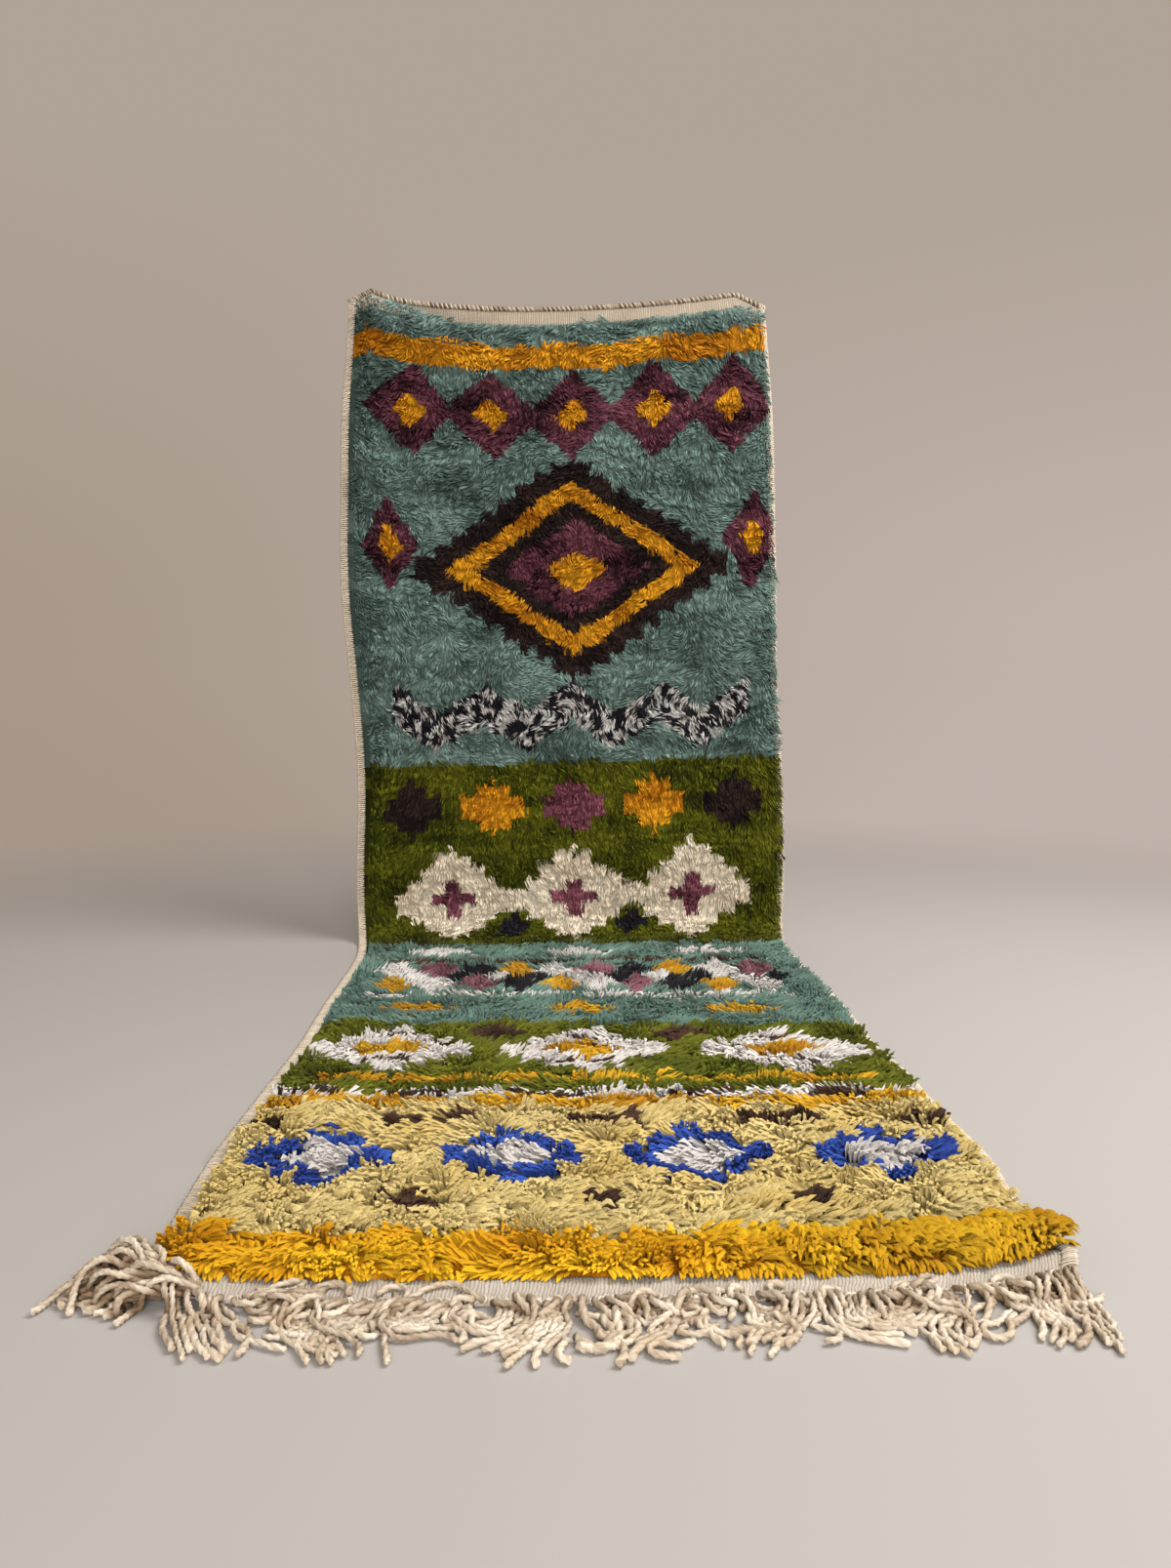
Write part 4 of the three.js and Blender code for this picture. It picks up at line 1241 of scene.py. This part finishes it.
# Mean length and spread of the cords of the comb and of the thrown ones
COMB_LENGTH = (112, 9)
THROWN_LENGTH = (104, 8)
CORD_ROOT_INSET = 2.0
CORD_ROOT_HEIGHT = 1.6
PLY_TURN = 30
CLUMP_BREAKS = 0.36
FURTHEST_LEFT = -453
CORD_SHADES = ((0.54, 0.46, 0.36), (0.90, 0.83, 0.71))
BURIED_PAINTED_SHADE = (0.38, 0.30, 0.23, 1)
SWING = np.array((
    # across, which way the cords of the comb run out there, in radians to the right
    (-372, 0.42),
    (-330, 0.25),
    (-250, -0.15),
    (-150, -0.35),
    (120, -0.3),
    (240, 0.1),
    (310, 0.4),
    (360, 0.2),
    (394, 0.0),
))
THROWN_SWING = -1.7

rng = np.random.default_rng(21)
total_cords = CORD_COUNT + THROWN_COUNT
thrown = np.arange(total_cords) >= CORD_COUNT
step_share = np.linspace(0, 1, CORD_POINTS)


def where_thrown(value, other):
    """One value for the thrown cords and another for the cords of the comb."""
    return np.where(thrown, value, other)[:, None]


root_across = np.concatenate([
    np.linspace(*COMB_SPAN, CORD_COUNT) + rng.normal(0, 1.6, CORD_COUNT),
    np.linspace(*THROWN_SPAN, THROWN_COUNT) + rng.normal(0, 1.2, THROWN_COUNT)])
root_at = np.full(total_cords, -FRONT_BAND + CORD_ROOT_INSET)
cord_edge = place(root_at, root_across, CORD_ROOT_HEIGHT) * 1000
clump = np.cumsum(rng.random(total_cords) < CLUMP_BREAKS)
clumps = clump.max() + 1
at_ends = smooth(root_across, 310, 360) + 1 - smooth(root_across, -355, -300)
calm = np.where(thrown, 0.4, 1 - 0.65 * at_ends)
strayed = rng.normal(0, 0.4, clumps)[clump] * calm
swing = np.where(thrown, THROWN_SWING, np.interp(root_across, *SWING.T))
swing = swing + strayed + rng.normal(0, 0.13, total_cords)
phases = rng.uniform(0, 2 * math.pi, (3, clumps, 1))[:, clump] + rng.normal(0, 0.5, (3, total_cords, 1))
curl = rng.normal(0, 0.8, (2, clumps, 1))[:, clump] * rng.normal(1, 0.25, (2, total_cords, 1))
curl = curl * calm[:, None]
hooked = rng.choice((-1, 1), clumps) * rng.uniform(0.8, 2.9, clumps) * (rng.random(clumps) < 0.6)
hooked = hooked[clump] * rng.normal(0.9, 0.35, total_cords) * np.where(thrown, 0.0, calm)
turned_back = rng.uniform(-0.5, 1.6, clumps)[clump] * thrown
heading = (swing[:, None] + curl[0] * (np.sin(6 * step_share + phases[0]) - np.sin(phases[0]))
           + 0.35 * curl[1] * (np.sin(12 * step_share + phases[1]) - np.sin(phases[1]))
           + hooked[:, None] * smooth(step_share, 0.4, 1.0)
           + turned_back[:, None] * smooth(step_share, 0.35, 0.9))
spring = rng.uniform(where_thrown(0.35, 0.1), where_thrown(0.95, 1.15))
fall = where_thrown(rng.uniform(1.0, 1.3, total_cords), rng.uniform(0.8, 1.25, total_cords))
dip = smooth(step_share, where_thrown(0.18, 0.02), where_thrown(0.72, 0.42))
flattened = 0.8 * smooth(step_share, where_thrown(0.85, 0.55), where_thrown(1.05, 0.8))
rise = spring * (1 - dip) - fall * dip * (1 - flattened)
rise = rise + 0.5 * np.sin(9 * step_share + phases[2]) * step_share
thrown_length = rng.normal(*THROWN_LENGTH, total_cords)
cord_length = where_thrown(thrown_length, rng.normal(*COMB_LENGTH, total_cords))
step_length = (cord_length / (CORD_POINTS - 1))[:, None]
steps = np.stack([np.cos(rise) * np.sin(heading), -np.cos(rise) * np.cos(heading), np.sin(rise)], axis=-1)
cords = cord_edge[:, None, :] + np.concatenate(
    [np.zeros((total_cords, 1, 3)), np.cumsum(steps[:, 1:] * step_length, axis=1)], axis=1)
on_the_floor = 1.12 * CORD_RADIUS
cords[..., 2] = np.maximum(cords[..., 2], on_the_floor)

# Settling: the cords sink, push each other apart, keep their bends and lengths, and stay on floor and weave
SETTLING_ROUNDS = 140
PAIRS_EVERY = 6
LENGTH_ROUNDS = 3
CLOSEST = 2 * CORD_RADIUS * 0.94
PAIR_MARGIN = 4
PUSH = 0.36
LARGEST_PUSH = 1.6
UPWARD_PUSH = 1.15
BEND_KEPT = 0.28
BESIDE_SQUARED = 56
ABOVE_BY = 2.0


def squared_gaps(spots):
    """The square of the distance between every two points."""
    own = (spots ** 2).sum(axis=1)
    return own[:, None] + own[None] - 2 * spots @ spots.T


def near_pairs(spots, reach):
    """Pairs of points on cords that are near each other, leaving out a cord's own neighbouring points."""
    first, second = np.nonzero(np.triu(squared_gaps(spots) < reach * reach, 1))
    other = (first // CORD_POINTS != second // CORD_POINTS) | (second - first > 4)
    return first[other], second[other]


def bends(cords):
    """How far each inner point of a cord stands out from the middle of its two neighbours."""
    return cords[:, 1:-1] - (cords[:, :-2] + cords[:, 2:]) / 2


rest_bend = bends(cords)
edge_order = np.argsort(cord_edge[:, 0])
edge_x, edge_y = cord_edge[edge_order, 0], cord_edge[edge_order, 1]
fixed = cords[:, :2].copy()
weight = where_thrown(0.1, 0.22)
for settling in range(SETTLING_ROUNDS):
    cords[:, 2:, 2] -= weight
    spots = cords.reshape(-1, 3)
    if settling % PAIRS_EVERY == 0:
        first, second = near_pairs(spots, CLOSEST + PAIR_MARGIN)
    apart = spots[first] - spots[second]
    apart[:, 2] *= UPWARD_PUSH
    distance = np.maximum(np.linalg.norm(apart, axis=1, keepdims=True), 1e-6)
    push = apart / distance * np.maximum(CLOSEST - distance, 0) * PUSH
    moved = np.zeros_like(spots)
    np.add.at(moved, first, push)
    np.add.at(moved, second, -push)
    cords = (spots + np.clip(moved, -LARGEST_PUSH, LARGEST_PUSH)).reshape(cords.shape)
    cords[:, 1:-1] += BEND_KEPT * (rest_bend - bends(cords))
    for _ in range(LENGTH_ROUNDS):
        link = cords[:, 1:] - cords[:, :-1]
        size = np.maximum(np.linalg.norm(link, axis=2, keepdims=True), 1e-6)
        slip = link * (1 - step_length / size) * 0.5
        cords[:, :-1] += slip
        cords[:, 1:] -= slip
        cords[:, :2] = fixed
    edge_here = np.interp(cords[..., 0], edge_x, edge_y)
    over_weave = (cords[..., 1] > edge_here - 1) & (cords[..., 0] > edge_x[0] - 4)
    lowest = np.where(over_weave, BAND_THICK + CORD_RADIUS + 0.6, on_the_floor)
    cords[:, 2:, 2] = np.maximum(cords[:, 2:, 2], lowest[:, 2:])
    cords[..., 0] = np.maximum(cords[..., 0], FURTHEST_LEFT)

cords[:, -1] = cords[:, -2] + 0.3 * (cords[:, -1] - cords[:, -2])
taper = np.minimum(1, 0.8 + 4 * step_share) * np.sqrt(np.clip((1 - step_share) * 15, 0, 1))
taper = taper * (1 + 0.12 * smooth(step_share, 0.75, 0.95)) * (step_share > 0)
spots = cords.reshape(-1, 3)
# Painted shade: cord points with other cords above them, and the roots of the cords, are darkened to a warm
# brown
higher = spots[None, :, 2] - spots[:, None, 2] > ABOVE_BY
above = ((squared_gaps(spots[:, :2]) < BESIDE_SQUARED) & higher).sum(axis=1)
buried = np.clip(above / 4, 0, 1).reshape(total_cords, CORD_POINTS, 1)
buried = np.maximum(buried, 0.55 * (1 - smooth(step_share, 0.05, 0.3))[:, None])
fringe_cords = cords_along(
    "fringe_cords", cords / 1000, CORD_RADIUS * taper * rng.normal(1.0, 0.09, (total_cords, 1)),
    step_share * cord_length, PLY_TURN, shades_between(*CORD_SHADES, total_cords, rng),
    1 - buried * (1 - np.array(BURIED_PAINTED_SHADE)))

WHIP_RADIUS = 3.7
WHIP_PITCH = 2.5
WHIP_SLANT = 0.25
whipped = np.repeat(np.arange(CORD_COUNT), 2)
cord_way = unit(cords[whipped, 2] - cords[whipped, 0])
turn_number = np.tile((0, 1), CORD_COUNT)[:, None]
whip_middles = cords[whipped, 0] + cord_way * (1.5 + WHIP_PITCH * turn_number)
sideways = unit(np.cross(cord_way, (0.0, 0.0, 1.0)))
whip_axes = (sideways, cord_way, np.cross(sideways, cord_way))
root_turns = wound_edge("fringe_root_turns", whip_middles / 1000, whip_axes, WHIP_RADIUS, WHIP_RADIUS,
                        WHIP_PITCH, WHIP_SLANT, shades_between(*CORD_SHADES, len(whipped), rng), rng)
put_away(wrap_forms)
for piece in (fringe_cords, root_turns):
    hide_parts("fringe")
    trimmings.append(piece)

pile_pieces + flat_ends + trimmings
